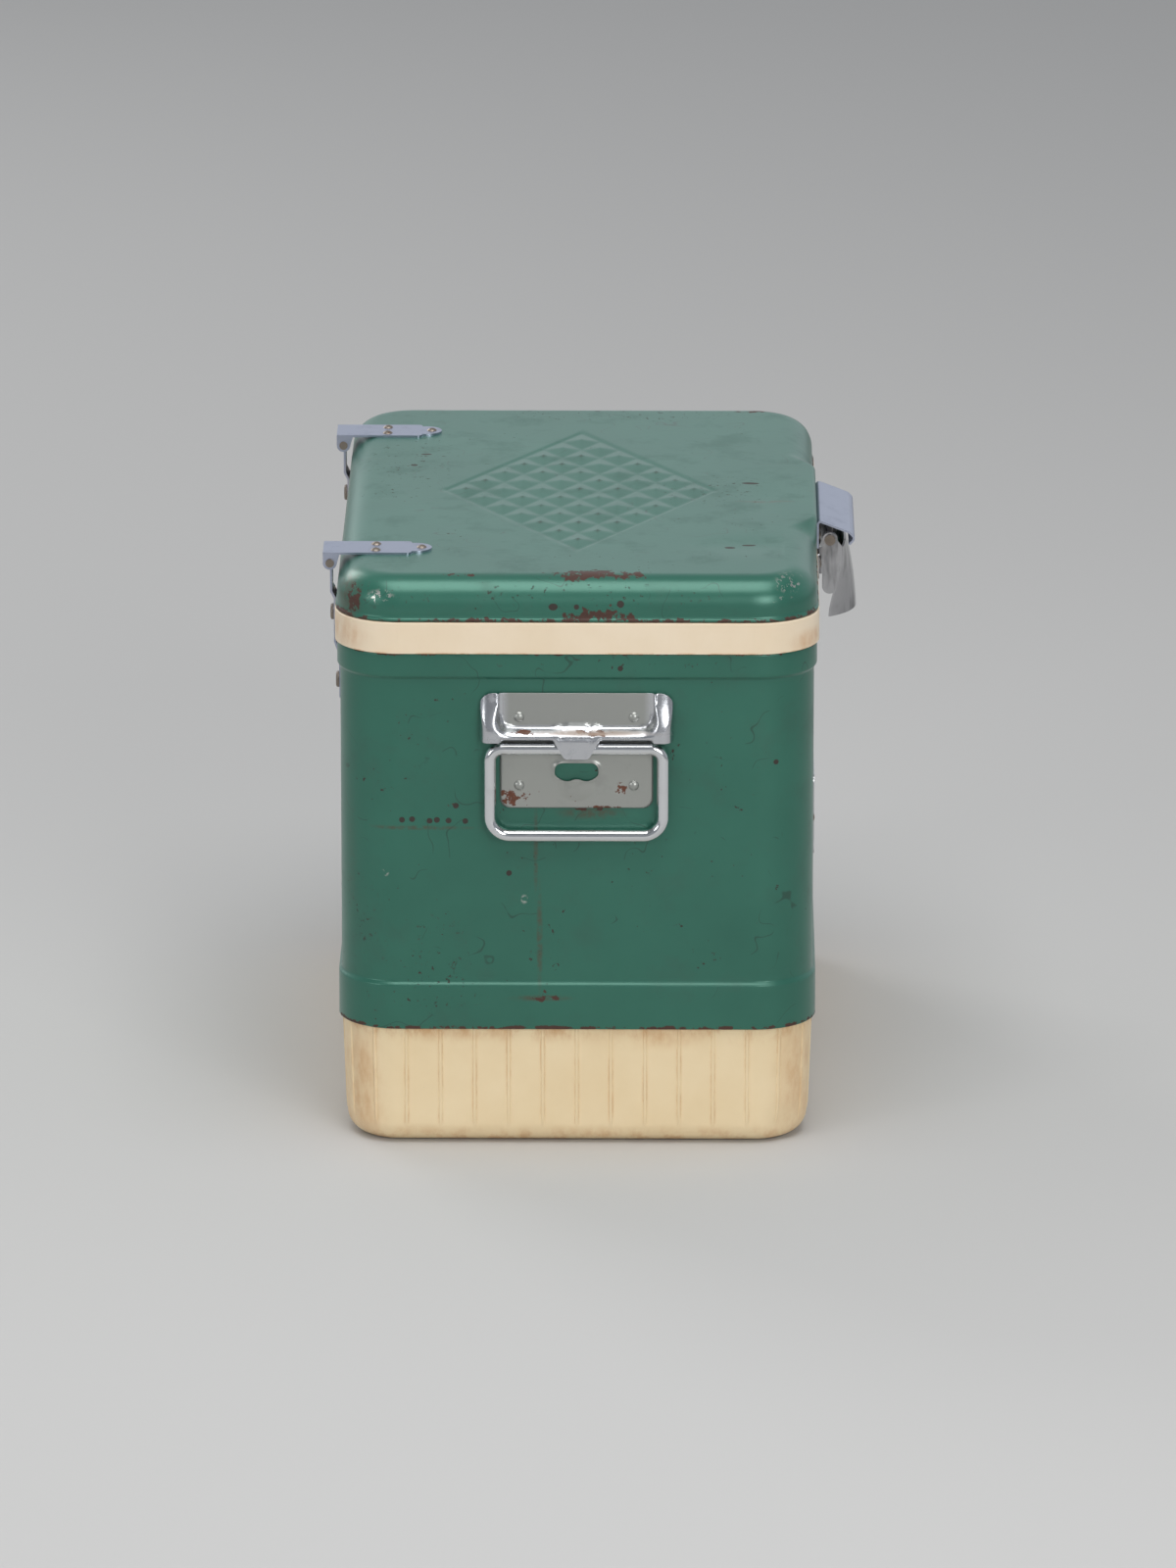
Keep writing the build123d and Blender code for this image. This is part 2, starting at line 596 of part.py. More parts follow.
def hinge_leaf(side):
    """Leaf on the body: a barrel round the pin and a strip that steps in to the band and jacket."""
    width = STRAP_WIDTH - 2 * HINGE_SHEET - 2 * FIT_GAP
    high = -(BAND_X + LEAF_STANDOFF + HINGE_SHEET / 2)
    band = -(BAND_X + HINGE_SHEET / 2)
    jacket = -(HALF_X + HINGE_SHEET / 2)
    step_foot = BAND_TOP - LEAF_STEP_DEPTH
    points = ((high, PIN_Z - BARREL_RADIUS / 2), (high, step_foot + LEAF_STEP), (band, step_foot),
              (band, BEAD_BOTTOM + STEP_SLOPE), (jacket, BEAD_BOTTOM - STEP_SLOPE),
              (jacket, BAND_BOTTOM - LEAF_DROP))
    strip = bent_strip(points, [], HINGE_SHEET, LEAF_WIDTH)
    strip = Pos(0, side, 0) * strip
    barrel = rod((PIN_X, side, PIN_Z), "Y", BARREL_RADIUS, width)
    leaf = strip + barrel - rod((PIN_X, side, PIN_Z), "Y", PIN_RADIUS + PIN_GAP, 2 * STRAP_WIDTH)
    for place in LEAF_SCREWS:
        leaf -= screw_hole(place, RIVET_GAP)
    return leaf


def hinge_pin(side):
    reach = STRAP_WIDTH + 2 * FIT_GAP
    pin = rod((PIN_X, side, PIN_Z), "Y", PIN_RADIUS, reach)
    for y in pairs(reach + PIN_HEAD_HEIGHT):
        pin += rod((PIN_X, side + y, PIN_Z), "Y", PIN_HEAD, PIN_HEAD_HEIGHT)
    return pin


# Handles, drawn on the near end
def handle_plate():
    """Lower plate, flat on the jacket, with the bottle-opener slot and its pressed lip."""
    low = BAIL_Z - PLATE_DROP
    high = BAIL_Z + HANDLE_RIVET_RISE + PLATE_LAP
    outline = Pos(0, (low + high) / 2) * RectangleRounded(PLATE_WIDTH, high - low, PLATE_RADIUS)
    slot = Pos(0, OPENER_Z) * RectangleRounded(OPENER_WIDTH, OPENER_HEIGHT, OPENER_RADIUS)
    crimp = Pos(0, OPENER_Z - OPENER_HEIGHT) * Circle(CRIMP_RADIUS)
    crimp -= Pos(0, OPENER_Z) * Rectangle(PLATE_WIDTH, 2 * OPENER_HEIGHT)
    plate = extrude(Plane.XZ * outline, HANDLE_SHEET)
    plate += extrude(Plane.XZ * crimp, CRIMP_HEIGHT + HANDLE_SHEET)
    plate -= extrude(Plane.XZ * slot, 4 * CRIMP_HEIGHT, both=True)
    plate = Pos(0, -HALF_Y, 0) * plate
    for spec in HANDLE_RIVETS:
        plate -= rivet_hole(*spec)
    return plate


def housing_form(wall, low):
    """Outer form of the upper stamping, drawn in by wall: a ridge with a round column each side."""
    half = HOUSING_WIDTH / 2 - wall
    high = HOUSING_TOP - wall
    sketch = Pos(0, (low + high) / 2) * Rectangle(2 * half, high - low)
    sketch = fillet(sketch.vertices().group_by(Axis.Y)[-1], PLATE_RADIUS)
    block = extrude(Plane.XZ * sketch, RIDGE_DEPTH - wall)
    outer_edges = block.faces().sort_by(Axis.Y)[0].edges().sort_by(Axis.Z)[1:]
    block = fillet(outer_edges, COLUMN_ROUND - wall)
    panel_half = HOUSING_WIDTH / 2 - COLUMN_WIDTH + wall
    panel_low = HOUSING_LOW + RIDGE_HEIGHT - wall
    panel = Pos(0, panel_low + HOUSING_TOP / 2) * Rectangle(2 * panel_half, HOUSING_TOP)
    panel = fillet(panel.vertices().group_by(Axis.Y)[0], PANEL_RADIUS + wall)
    block -= extrude(Plane.XZ * panel, RIDGE_DEPTH)
    front = block.faces().filter_by(Axis.Y).sort_by(Axis.Y)[0]
    inner_edges = [edge for edge in front.edges()
                   if abs(edge.center().X) < panel_half + FIT_GAP and edge.center().Z > panel_low - FIT_GAP]
    return fillet(inner_edges, RIDGE_ROUND - wall)


def handle_housing():
    """Upper stamping: flat panel, hooded ridge over the rod, side columns and an opener lip."""
    base = HALF_Y + HANDLE_SHEET
    hollow = housing_form(HANDLE_SHEET, HOUSING_LOW - 2 * HANDLE_SHEET)
    shell = housing_form(0, HOUSING_LOW) - hollow
    panel_low = HOUSING_LOW + RIDGE_HEIGHT - HANDLE_SHEET
    panel_width = HOUSING_WIDTH - 2 * COLUMN_WIDTH + 2 * HANDLE_SHEET
    behind = (Align.CENTER, Align.MAX, Align.MIN)
    shell += Pos(0, 0, panel_low) * Box(panel_width, HANDLE_SHEET, HOUSING_TOP - panel_low, align=behind)
    lip_low = BAIL_Z + BAIL_WIRE / 4
    front = (Align.CENTER, Align.MIN, Align.MIN)
    lip = Box(LIP_WIDTH, HANDLE_SHEET, HOUSING_LOW + HANDLE_SHEET - lip_low, align=front)
    tab_low = BAIL_Z - BAIL_WIRE / 2 - BAIL_GAP - HANDLE_SHEET
    tab = Box(TAB_WIDTH, HANDLE_SHEET, lip_low + HANDLE_SHEET - tab_low, align=front)
    hook = Box(TAB_WIDTH, RIDGE_DEPTH - BAIL_GAP, HANDLE_SHEET, align=front)
    shell += [Pos(0, -RIDGE_DEPTH, lip_low) * lip, Pos(0, -RIDGE_DEPTH, tab_low) * (tab + hook)]
    shell = Pos(0, -base, 0) * shell
    for spec in HANDLE_RIVETS:
        shell -= rivet_hole(*spec)
    return shell


def handle_bail():
    """Round bar bent into a loop, with its two ends meeting inside the ridge."""
    half = (BAIL_WIDTH - BAIL_WIRE) / 2
    low = BAIL_Z - BAIL_DROP
    end = BAIL_JOINT_GAP / 2
    corners = ((-end, BAIL_Z), (-half, BAIL_Z), (-half, low), (half, low), (half, BAIL_Z),
               (end, BAIL_Z))
    path = FilletPolyline(*[Vector(x, -BAIL_Y, z) for x, z in corners],
                          radius=[BAIL_ELBOW, BAIL_RADIUS, BAIL_RADIUS, BAIL_ELBOW])
    section = Plane(origin=path @ 0, z_dir=path % 0) * Circle(BAIL_WIRE / 2)
    return sweep(section, path)


# Latch
def latch_keeper():
    """Plate on the lid's pad that bends out into a wide hood with a curled lip."""
    face = PAD_FACE + LATCH_SHEET / 2
    top = HEIGHT - HOOD_SINK
    reach = face + HOOD_REACH
    edge = top - HOOD_DROP
    curl = HOOD_CURL / 2
    points = ((face, KEEPER_BOTTOM), (face, top), (reach, edge), (reach + curl, edge - curl),
              (reach, edge - 2 * curl))
    keeper = bent_strip(points, [SHEET_BEND, HOOD_CURL_BEND, HOOD_CURL_BEND], LATCH_SHEET, HOOD_WIDTH)
    for spec in KEEPER_FIXINGS:
        keeper -= rivet_hole(*spec)
    return keeper


def latch_hasp():
    """Loop that hangs from the keeper in front of the latch bracket."""
    face = PAD_FACE + LATCH_SHEET
    high = LATCH_Z + HASP_RISE
    front = HASP_X + LATCH_SHEET / 2
    points = ((face, high), (front, high), (front, HASP_BOTTOM))
    hasp = bent_strip(points, [SHEET_BEND], LATCH_SHEET, HASP_WIDTH)
    window_low = HASP_BOTTOM + HASP_BAR
    window_high = high - HASP_TOP_BAR
    window = Box(4 * LATCH_SHEET, HASP_WINDOW, window_high - window_low)
    return hasp - Pos(front, 0, (window_low + window_high) / 2) * window


def latch_bracket():
    """Plate on the band with two ears that carry the lever's pin."""
    height = BAND_HEIGHT - 2 * BRACKET_MARGIN
    plate = Box(LATCH_SHEET, BRACKET_WIDTH, height)
    plate = fillet(plate.edges().filter_by(Axis.X), BRACKET_RADIUS)
    plate = Pos(BAND_X + LATCH_SHEET / 2, 0, BRACKET_MIDDLE) * plate
    ear_top = LATCH_Z + EAR_WIDTH / 2
    ear_bottom = LATCH_Z - EAR_DROP
    ear = SlotOverall(ear_top - ear_bottom, EAR_WIDTH, rotation=90)
    ear = Pos(LATCH_X, (ear_bottom + ear_top) / 2) * ear
    root = Pos((BAND_X + LATCH_X) / 2, BRACKET_MIDDLE) * Rectangle(LATCH_X - BAND_X, height)
    for y in pairs(EAR_SPACING):
        plate += Pos(0, y, 0) * extrude(Plane.XZ * (ear + root), LATCH_SHEET / 2, both=True)
    plate -= rod((LATCH_X, 0, LATCH_Z), "Y", LATCH_PIN + RIVET_GAP, 2 * EAR_SPACING)
    for spec in BRACKET_FIXINGS:
        plate -= rivet_hole(*spec)
    return plate


def latch_pin():
    reach = EAR_SPACING + LATCH_SHEET + 2 * FIT_GAP
    pin = rod((LATCH_X, 0, LATCH_Z), "Y", LATCH_PIN, reach)
    for y in pairs(reach + PIN_HEAD_HEIGHT):
        pin += rod((LATCH_X, y, LATCH_Z), "Y", LATCH_PIN_HEAD, PIN_HEAD_HEIGHT)
    return pin


def lever_face(section):
    """One bowed section of the lever: an arc from end to end, and the same arc a sheet further in."""
    drop, middle, end = section
    height = LATCH_Z - drop
    half = LEVER_WIDTH / 2
    outer = [(LATCH_X + end, -half, height), (LATCH_X + middle, 0, height), (LATCH_X + end, half, height)]
    inner = [(x - LEVER_SHEET, y, z) for x, y, z in reversed(outer)]
    arcs = [ThreePointArc(*outer), ThreePointArc(*inner)]
    return make_face([arcs[0], Line(outer[2], inner[0]), arcs[1], Line(inner[2], outer[0])])


def latch_lever():
    """Bowed pull with a flange each side that turns on the pin, and a tongue for the hasp."""
    lever = loft([lever_face(section) for section in LEVER_SECTIONS])
    eye = EAR_WIDTH / 2
    front = [(end, -drop) for drop, _, end in LEVER_SECTIONS[:3]]
    cheek = Polygon((0, eye), *front, (-eye / 4, eye + front[-1][1]), (-eye, 0), align=None) + Circle(eye)
    for y in pairs(LEVER_WIDTH - LEVER_SHEET):
        lever += Pos(LATCH_X, y, LATCH_Z) * extrude(Plane.XZ * cheek, LEVER_SHEET / 2, both=True)
    lever -= rod((LATCH_X, 0, LATCH_Z), "Y", LATCH_PIN + PIN_GAP, 2 * LEVER_WIDTH)
    tongue_low = HASP_BOTTOM + HASP_BAR + TONGUE_RISE
    (upper_drop, upper_reach, _), (lower_drop, lower_reach, _) = LEVER_SECTIONS[1:3]
    share = (LATCH_Z - tongue_low - TONGUE_SHEET / 2 - upper_drop) / (lower_drop - upper_drop)
    tongue_root = LATCH_X + upper_reach + share * (lower_reach - upper_reach) - LEVER_SHEET / 2
    tongue_tip = HASP_X + LATCH_SHEET + TONGUE_GAP
    placed = (Align.MIN, Align.CENTER, Align.MIN)
    tongue = Box(tongue_root - tongue_tip, TONGUE_WIDTH, TONGUE_SHEET, align=placed)
    return lever + Pos(tongue_tip, 0, tongue_low) * tongue


# Name plate
def front_badge():
    """Bare name plate on the jacket, slightly domed."""
    side = Plane(origin=(HALF_X, 0, BADGE_Z), x_dir=(0, 1, 0), z_dir=(1, 0, 0))
    plate = extrude(side * RectangleRounded(BADGE_LENGTH, BADGE_HEIGHT, BADGE_RADIUS), BADGE_SHEET)
    raised = RectangleRounded(
        BADGE_LENGTH - 2 * BADGE_END_RIM, BADGE_HEIGHT - 2 * BADGE_SIDE_RIM, BADGE_DOME_RADIUS)
    plate += extrude(side * raised, BADGE_SHEET + BADGE_DOME, taper=BADGE_DOME_SLOPE)
    for spec in BADGE_FIXINGS:
        plate -= rivet_hole(*spec)
    return plate


# Drain
def drain_tube():
    """Flanged tube from inside the liner to outside the tub."""
    inside = LINER_Y - PLASTIC
    length = DRAIN_END - inside
    tube = rod((0, inside + length / 2, DRAIN_Z), "Y", DRAIN_TUBE, length)
    flange = rod((0, inside - DRAIN_FLANGE_SHEET / 2, DRAIN_Z), "Y", DRAIN_FLANGE, DRAIN_FLANGE_SHEET)
    return tube + flange - rod((0, inside, DRAIN_Z), "Y", DRAIN_BORE, 4 * length)


def drain_washer():
    place = (0, DRAIN_SEAT + WASHER_SHEET / 2, DRAIN_Z)
    hole = rod(place, "Y", DRAIN_TUBE + RIVET_GAP, 2 * WASHER_SHEET)
    return rod(place, "Y", WASHER_RADIUS, WASHER_SHEET) - hole


def drain_nut():
    place = (0, DRAIN_SEAT + WASHER_SHEET + NUT_HEIGHT / 2, DRAIN_Z)
    hexagon = extrude(RegularPolygon(NUT_RADIUS, 6), NUT_HEIGHT / 2, both=True)
    hole = rod(place, "Y", DRAIN_TUBE + RIVET_GAP, 2 * NUT_HEIGHT)
    return Pos(*place) * Rot(90, 0, 0) * hexagon - hole


def drain_plug():
    face = DRAIN_END + FIT_GAP
    head = rod((0, face + PLUG_HEAD_HEIGHT / 2, DRAIN_Z), "Y", PLUG_HEAD, PLUG_HEAD_HEIGHT)
    head = fillet(head.faces().sort_by(Axis.Y)[-1].edges(), PLUG_HEAD_ROUND)
    return head + rod((0, face - PLUG_LENGTH / 2, DRAIN_Z), "Y", DRAIN_BORE - PLUG_FIT, PLUG_LENGTH)


def write(node, shape):
    """Write one sub-part; a group of separate solids is kept as a compound."""
    solids = ShapeList(shape.solids()) if not isinstance(shape, (list, ShapeList)) else ShapeList(
        solid for piece in shape for solid in piece.solids())
    model = solids[0] if len(solids) == 1 else Compound(children=list(solids))
    export_step(model, f"parts/{node}.step")
    print(node, len(solids), round(sum(solid.volume for solid in solids), 1))


def far(shape):
    """Turn a near-end piece round to the far end."""
    return Rot(0, 0, 180) * shape


def main():
    os.makedirs("parts", exist_ok=True)
    write("base_tub", base_tub())
    write("outer_jacket", outer_jacket())
    write("rim_band", rim_band())
    write("inner_liner", inner_liner())
    write("body_foam", body_foam())
    write("lid_shell", lid_shell())
    write("lid_pan", lid_pan())
    write("lid_foam", lid_foam())
    write("lid_gasket", lid_gasket())
    near_side, far_side = pairs(HINGE_SPACING)
    for name, side in (("near", near_side), ("far", far_side)):
        write(f"hinge_strap_{name}", hinge_strap(side))
        write(f"hinge_leaf_{name}", hinge_leaf(side))
        write(f"hinge_pin_{name}", hinge_pin(side))
    write("hinge_strap_rivets", [rivet(*spec) for spec in STRAP_FIXINGS])
    write("hinge_leaf_screws", [screw(place) for place in LEAF_SCREWS])
    plate, housing, bail = handle_plate(), handle_housing(), handle_bail()
    rivets = [rivet(*spec) for spec in HANDLE_RIVETS]
    for name, place in (("near", lambda shape: shape), ("far", far)):
        write(f"handle_plate_{name}", place(plate))
        write(f"handle_housing_{name}", place(housing))
        write(f"handle_bail_{name}", place(bail))
        write(f"handle_rivets_{name}", [place(piece) for piece in rivets])
    write("latch_keeper", latch_keeper())
    write("latch_keeper_rivets", [rivet(*spec) for spec in KEEPER_FIXINGS])
    write("latch_hasp", latch_hasp())
    write("latch_bracket", latch_bracket())
    write("latch_bracket_rivets", [rivet(*spec) for spec in BRACKET_FIXINGS])
    write("latch_pin", latch_pin())
    write("latch_lever", latch_lever())
    write("name_plate", front_badge())
    write("name_plate_rivets", [rivet(*spec) for spec in BADGE_FIXINGS])
    write("drain_tube", drain_tube())
    write("drain_washer", drain_washer())
    write("drain_nut", drain_nut())
    write("drain_plug", drain_plug())


main()
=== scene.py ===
"""Looks of a steel picnic cooler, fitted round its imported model.

New surfaces are worked out on grids with numpy: the embossed lid, the folded jacket, the fluted tub, and
the upper stamping and lower plate of each handle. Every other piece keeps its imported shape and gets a
finish of its own. Lengths are in metres.
"""
import math
import bpy
import numpy as np
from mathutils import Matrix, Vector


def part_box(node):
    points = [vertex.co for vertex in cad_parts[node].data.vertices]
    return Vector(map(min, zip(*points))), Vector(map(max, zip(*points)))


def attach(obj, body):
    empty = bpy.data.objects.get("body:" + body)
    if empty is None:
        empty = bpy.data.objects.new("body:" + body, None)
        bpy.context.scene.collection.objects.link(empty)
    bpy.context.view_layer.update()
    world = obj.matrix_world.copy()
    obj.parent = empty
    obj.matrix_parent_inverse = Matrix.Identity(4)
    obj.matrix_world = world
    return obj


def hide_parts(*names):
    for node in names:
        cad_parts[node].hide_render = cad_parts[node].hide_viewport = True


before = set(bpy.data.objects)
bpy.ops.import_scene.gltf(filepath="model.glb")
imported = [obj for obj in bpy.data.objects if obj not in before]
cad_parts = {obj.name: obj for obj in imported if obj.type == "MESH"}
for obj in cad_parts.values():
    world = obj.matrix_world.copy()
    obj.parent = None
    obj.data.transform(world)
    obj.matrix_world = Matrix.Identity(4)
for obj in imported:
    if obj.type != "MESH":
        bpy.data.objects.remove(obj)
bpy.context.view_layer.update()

MM = 0.001

# Sheet and plastic thicknesses
STEEL = 0.9 * MM
PLASTIC = 2.5 * MM
HANDLE_SHEET = 1.2 * MM

# Jacket: its walls stand a step inside the flare below and the bead above
JACKET_LOW, JACKET_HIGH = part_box("outer_jacket")
BAND_LOW, BAND_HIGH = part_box("rim_band")
STEP = 2 * MM
CORNER = 41 * MM
WALL_X = JACKET_HIGH.x - STEP
WALL_Y = JACKET_HIGH.y - STEP
FLARE_TOP = JACKET_LOW.z + 36 * MM
BEAD_BOTTOM = BAND_LOW.z - 16 * MM
STEP_SLOPE = 3.4 * MM
HEM_ROUND = 0.6 * MM
HEM_FOLD = 3 * MM
SHOULDER = 1.8 * MM
TUCK = 0.2 * MM

# Lid
LID_LOW, LID_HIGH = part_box("lid_shell")
HEM_PROUD = 1.2 * MM
HEM_HEIGHT = 2.4 * MM
HEM_LAP = 0.6 * MM
HEM_SINK = 0.05 * MM
ROLL = 20 * MM
LID_CORNER = CORNER + STEP
LID_X = LID_HIGH.x - HEM_PROUD
LID_Y = LID_HIGH.y - HEM_PROUD
PAD_HALF = 66 * MM
PAD_PROUD = 1 * MM
PAD_FADE = 40 * MM
PAD_ROUND = 3 * MM

# Embossed rhombus: its creases are rounded by a high norm, and EDGE_ACROSS is the cosine of its lean
PYRAMID = 1.2 * MM
VALLEY = 0.7 * MM
LID_FLAT = LID_HIGH.z - PYRAMID
DIAMOND_Y = 323 * MM
DIAMOND_X = 187 * MM
CELLS = 7
STEPS_PER_CELL = 18
CREASE_NORM = 9
EDGE_ACROSS = 0.87
MOAT_START = 0.6 * MM
MOAT_END = 3.4 * MM
TIP_REACH = 1.8 * MM

# Tub
TUB_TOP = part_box("base_tub")[1].z
TAPER = math.radians(2)
TUB_INSET = 1 * MM
TUB_SHADE = 3 * MM
FOOT = 16 * MM
FLOOR_EDGE = -38 * MM
FLUTE_PITCH = 23.4 * MM
FLUTE_HALF = 1.1 * MM
FLUTE_PROUD = 0.7 * MM
FLUTE_GROOVE = 0.3 * MM
GROOVE_PLACE = 1.25

# Drain boss on the far end of the tub: rings as radius in mm, and share of the way from wall to seat
WASHER_LOW, WASHER_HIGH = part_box("drain_washer")
DRAIN_PLACE = np.array([0, (WASHER_LOW.z + WASHER_HIGH.z) / 2])
DRAIN_SEAT = WASHER_LOW.y
DRAIN_BLOCK = 20 * MM
DRAIN_RINGS = ((17.4, 0), (16.5, 0), (16.1, 0.15), (15.9, 0.85), (15.4, 1), (9.0, 1), (8.4, 1), (8.1, 0.8),
               (8.1, -0.9), (8.6, -1), (13.0, -1))

# Handles: the faces are distances out from the middle of the chest
PANEL_FACE = WALL_Y + 2.4 * MM
RIDGE_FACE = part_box("handle_housing_far")[1].y
PLATE_FACE = WALL_Y + HANDLE_SHEET
HOUSING_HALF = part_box("handle_housing_far")[1].x
COLUMN = 13.5 * MM
RIDGE = 8.6 * MM
PANEL_CORNER = 9 * MM
HOUSING_CORNER = 9 * MM
HOUSING_FOOT = 292.8 * MM
LIP_FULL = 7 * MM
LIP_END = 16 * MM
PLATE_CORNER = 7 * MM
SLOT_X = 15 * MM
SLOT_Z = 6 * MM
SLOT_CORNER = 4.8 * MM
SLOT_HEIGHT = 270 * MM
SLOT_WAVE = 0.8 * MM
RIM_REACH = 1.8 * MM
DIMPLE = 12.5 * MM
DIMPLE_HEIGHT = 260 * MM
DIMPLE_PROUD = 1.3 * MM
PLATE_PROUD = 1.55 * MM

# Camera: place, turn to the left, downward tilt, and focal length on its sensor in mm
CAMERA_PLACE = (0.0764, -7.945, 2.4739)
CAMERA_TURN = 0.0089
CAMERA_TILT = 0.2798
CAMERA_LENS = 268.1
CAMERA_SENSOR = 36

# Knocks, as rows of centre, reach and depth in mm: the lid's in x and y, the near end's in x and z,
# the long sides' in y and z
LID_KNOCKS = ((0.118, -0.15, 0.03, 0.022, 0.9), (0.128, -0.02, 0.012, 0.05, 0.7),
              (-0.118, 0.04, 0.02, 0.06, 0.5))
END_KNOCKS = ((-0.115, 0.235, 0.022, 0.016, 0.8), (0.098, 0.185, 0.018, 0.03, 0.6),
              (-0.02, 0.15, 0.06, 0.018, 0.7))
SIDE_KNOCKS = ((0.13, 0.22, 0.05, 0.04, 0.6),)
FOOT_KNOCKS = ((0.143, 0.014, 0.01, 0.008, 2.1),)

# Wear, as rows of x, y, z and the reach along each
LID_WEAR = {
    "rust": ((0.012, -0.2275, 0.406, 0.06, 0.014, 0.01), (0.02, -0.246, 0.38, 0.04, 0.01, 0.012),
             (-0.152, -0.232, 0.39, 0.007, 0.02, 0.022), (-0.08, -0.229, 0.405, 0.02, 0.004, 0.004),
             (0.125, 0.226, 0.404, 0.03, 0.01, 0.006)),
    "dots": ((-0.016, -0.245, 0.387, 0.005, 0.01, 0.004), (0.0, -0.245, 0.387, 0.003, 0.01, 0.003),
             (0.03, -0.244, 0.389, 0.004, 0.01, 0.004), (0.105, -0.155, 0.406, 0.006, 0.004, 0.01),
             (0.118, -0.148, 0.406, 0.008, 0.003, 0.01), (-0.11, 0.1, 0.406, 0.006, 0.003, 0.01),
             (-0.118, 0.07, 0.406, 0.004, 0.004, 0.01), (0.12, 0.02, 0.406, 0.01, 0.004, 0.01)),
    "speckled": ((0.0, -0.242, 0.394, 0.14, 0.02, 0.012), (-0.12, -0.235, 0.392, 0.04, 0.02, 0.015),
                 (0.09, 0.0, 0.406, 0.06, 0.06, 0.01), (-0.12, 0.08, 0.406, 0.04, 0.1, 0.01),
                 (0.02, 0.215, 0.406, 0.12, 0.03, 0.01)),
    "streaks": ((-0.156, -0.225, 0.392, 0.012, 0.03, 0.03), (0.13, -0.03, 0.406, 0.03, 0.004, 0.01)),
    "bare": ((-0.134, -0.241, 0.393, 0.012, 0.01, 0.006), (0.147, -0.231, 0.401, 0.014, 0.02, 0.008),
             (0.14, -0.237, 0.391, 0.01, 0.01, 0.003)),
}
JACKET_DOTS = ((-0.12, 0.2346), (-0.113, 0.235), (-0.101, 0.234), (-0.096, 0.2346), (-0.088, 0.2342),
               (-0.0765, 0.234), (-0.0465, 0.1968), (-0.083, 0.245), (0.137, 0.276), (0.03, 0.3435))
JACKET_WEAR = {
    "rust": ((-0.024, -0.245, 0.1075, 0.02, 0.01, 0.004), (-0.0235, -0.243, 0.112, 0.006, 0.01, 0.006),
             (0.01, -0.243, 0.243, 0.02, 0.01, 0.003), (-0.085, -0.243, 0.2455, 0.01, 0.01, 0.0025)),
    "dots": [(x, -0.243, z, 0.0032, 0.01, 0.0032) for x, z in JACKET_DOTS],
    "speckled": ((-0.1, -0.243, 0.13, 0.045, 0.02, 0.05), (-0.15, -0.235, 0.17, 0.02, 0.03, 0.05),
                 (-0.1, -0.245, 0.107, 0.06, 0.02, 0.012), (0.03, -0.245, 0.346, 0.12, 0.02, 0.008)),
    "streaks": ((-0.0255, -0.243, 0.15, 0.0028, 0.01, 0.05), (-0.028, -0.243, 0.215, 0.0022, 0.01, 0.045),
                (-0.11, -0.243, 0.229, 0.055, 0.01, 0.0022), (-0.024, -0.245, 0.1075, 0.028, 0.01, 0.003),
                (0.01, -0.243, 0.24, 0.03, 0.01, 0.006), (-0.161, -0.238, 0.2, 0.012, 0.02, 0.1)),
    "bare": ((-0.132, -0.243, 0.1965, 0.0035, 0.01, 0.003), (-0.036, -0.243, 0.178, 0.003, 0.01, 0.004)),
}
TUB_STAINS = [(x, y, 0.035, 0.034, 0.05, 0.085) for x in (-0.158, 0.162) for y in (-0.236, 0.236)]
TUB_STAINS += [(0.05, -0.243, 0.082, 0.06, 0.02, 0.016), (-0.07, -0.243, 0.083, 0.04, 0.02, 0.01)]
BAND_STAINS = ((-0.158, -0.225, 0.365, 0.02, 0.04, 0.014), (0.16, -0.225, 0.36, 0.02, 0.04, 0.01))
HANDLE_RUST = ((-0.044, -0.245, 0.252, 0.017, 0.01, 0.009), (0.016, -0.245, 0.2445, 0.024, 0.01, 0.002),
               (0.01, -0.253, 0.2995, 0.022, 0.01, 0.0035), (-0.036, -0.25, 0.2995, 0.016, 0.01, 0.003),
               (0.03, -0.245, 0.2575, 0.006, 0.01, 0.006), (0.046, 0.245, 0.252, 0.016, 0.01, 0.008))
RIDGE_TARNISH = ((-0.012, 0.2525, 0.2995, 0.06, 0.01, 0.0024), (0.012, -0.2525, 0.2995, 0.06, 0.01, 0.0024))


# Grids and profiles
def ease(value, low, high):
    """0 below low, 1 above high, and a smooth cubic step between them."""
    t = np.clip((value - low) / (high - low), 0, 1)
    return t * t * (3 - 2 * t)


def hump(x, y, centre, reach):
    """A bell of height 1 at the centre that falls to a third at the reach."""
    return np.exp(-((x - centre[0]) / reach[0]) ** 2 - ((y - centre[1]) / reach[1]) ** 2)


def knocked(x, y, rows):
    """Depth of shallow knocks, each a row of centre, reach and depth in mm."""
    return sum(depth * MM * hump(x, y, (at_x, at_y), (reach_x, reach_y))
               for at_x, at_y, reach_x, reach_y, depth in rows)


def in_scene(name, data):
    """A new object of the scene."""
    made = bpy.data.objects.new(name, data)
    bpy.context.scene.collection.objects.link(made)
    return made


def new_piece(name, body, points, faces, material, slot, **marks):
    """A smooth mesh object that rides on a body, from arrays of points and faces.

    Each mark is a value per point that the material may read by its name.
    """
    mesh = bpy.data.meshes.new(name)
    mesh.from_pydata(points.reshape(-1, 3).tolist(), [], faces)
    mesh.polygons.foreach_set("use_smooth", np.ones(len(mesh.polygons), dtype=bool))
    for mark, values in marks.items():
        attribute = mesh.attributes.new(mark, "FLOAT", "POINT")
        attribute.data.foreach_set("value", values.reshape(-1).astype(float))
    mesh.update()
    mesh.materials.append(material)
    piece = in_scene(name, mesh)
    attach(piece, body)
    return piece


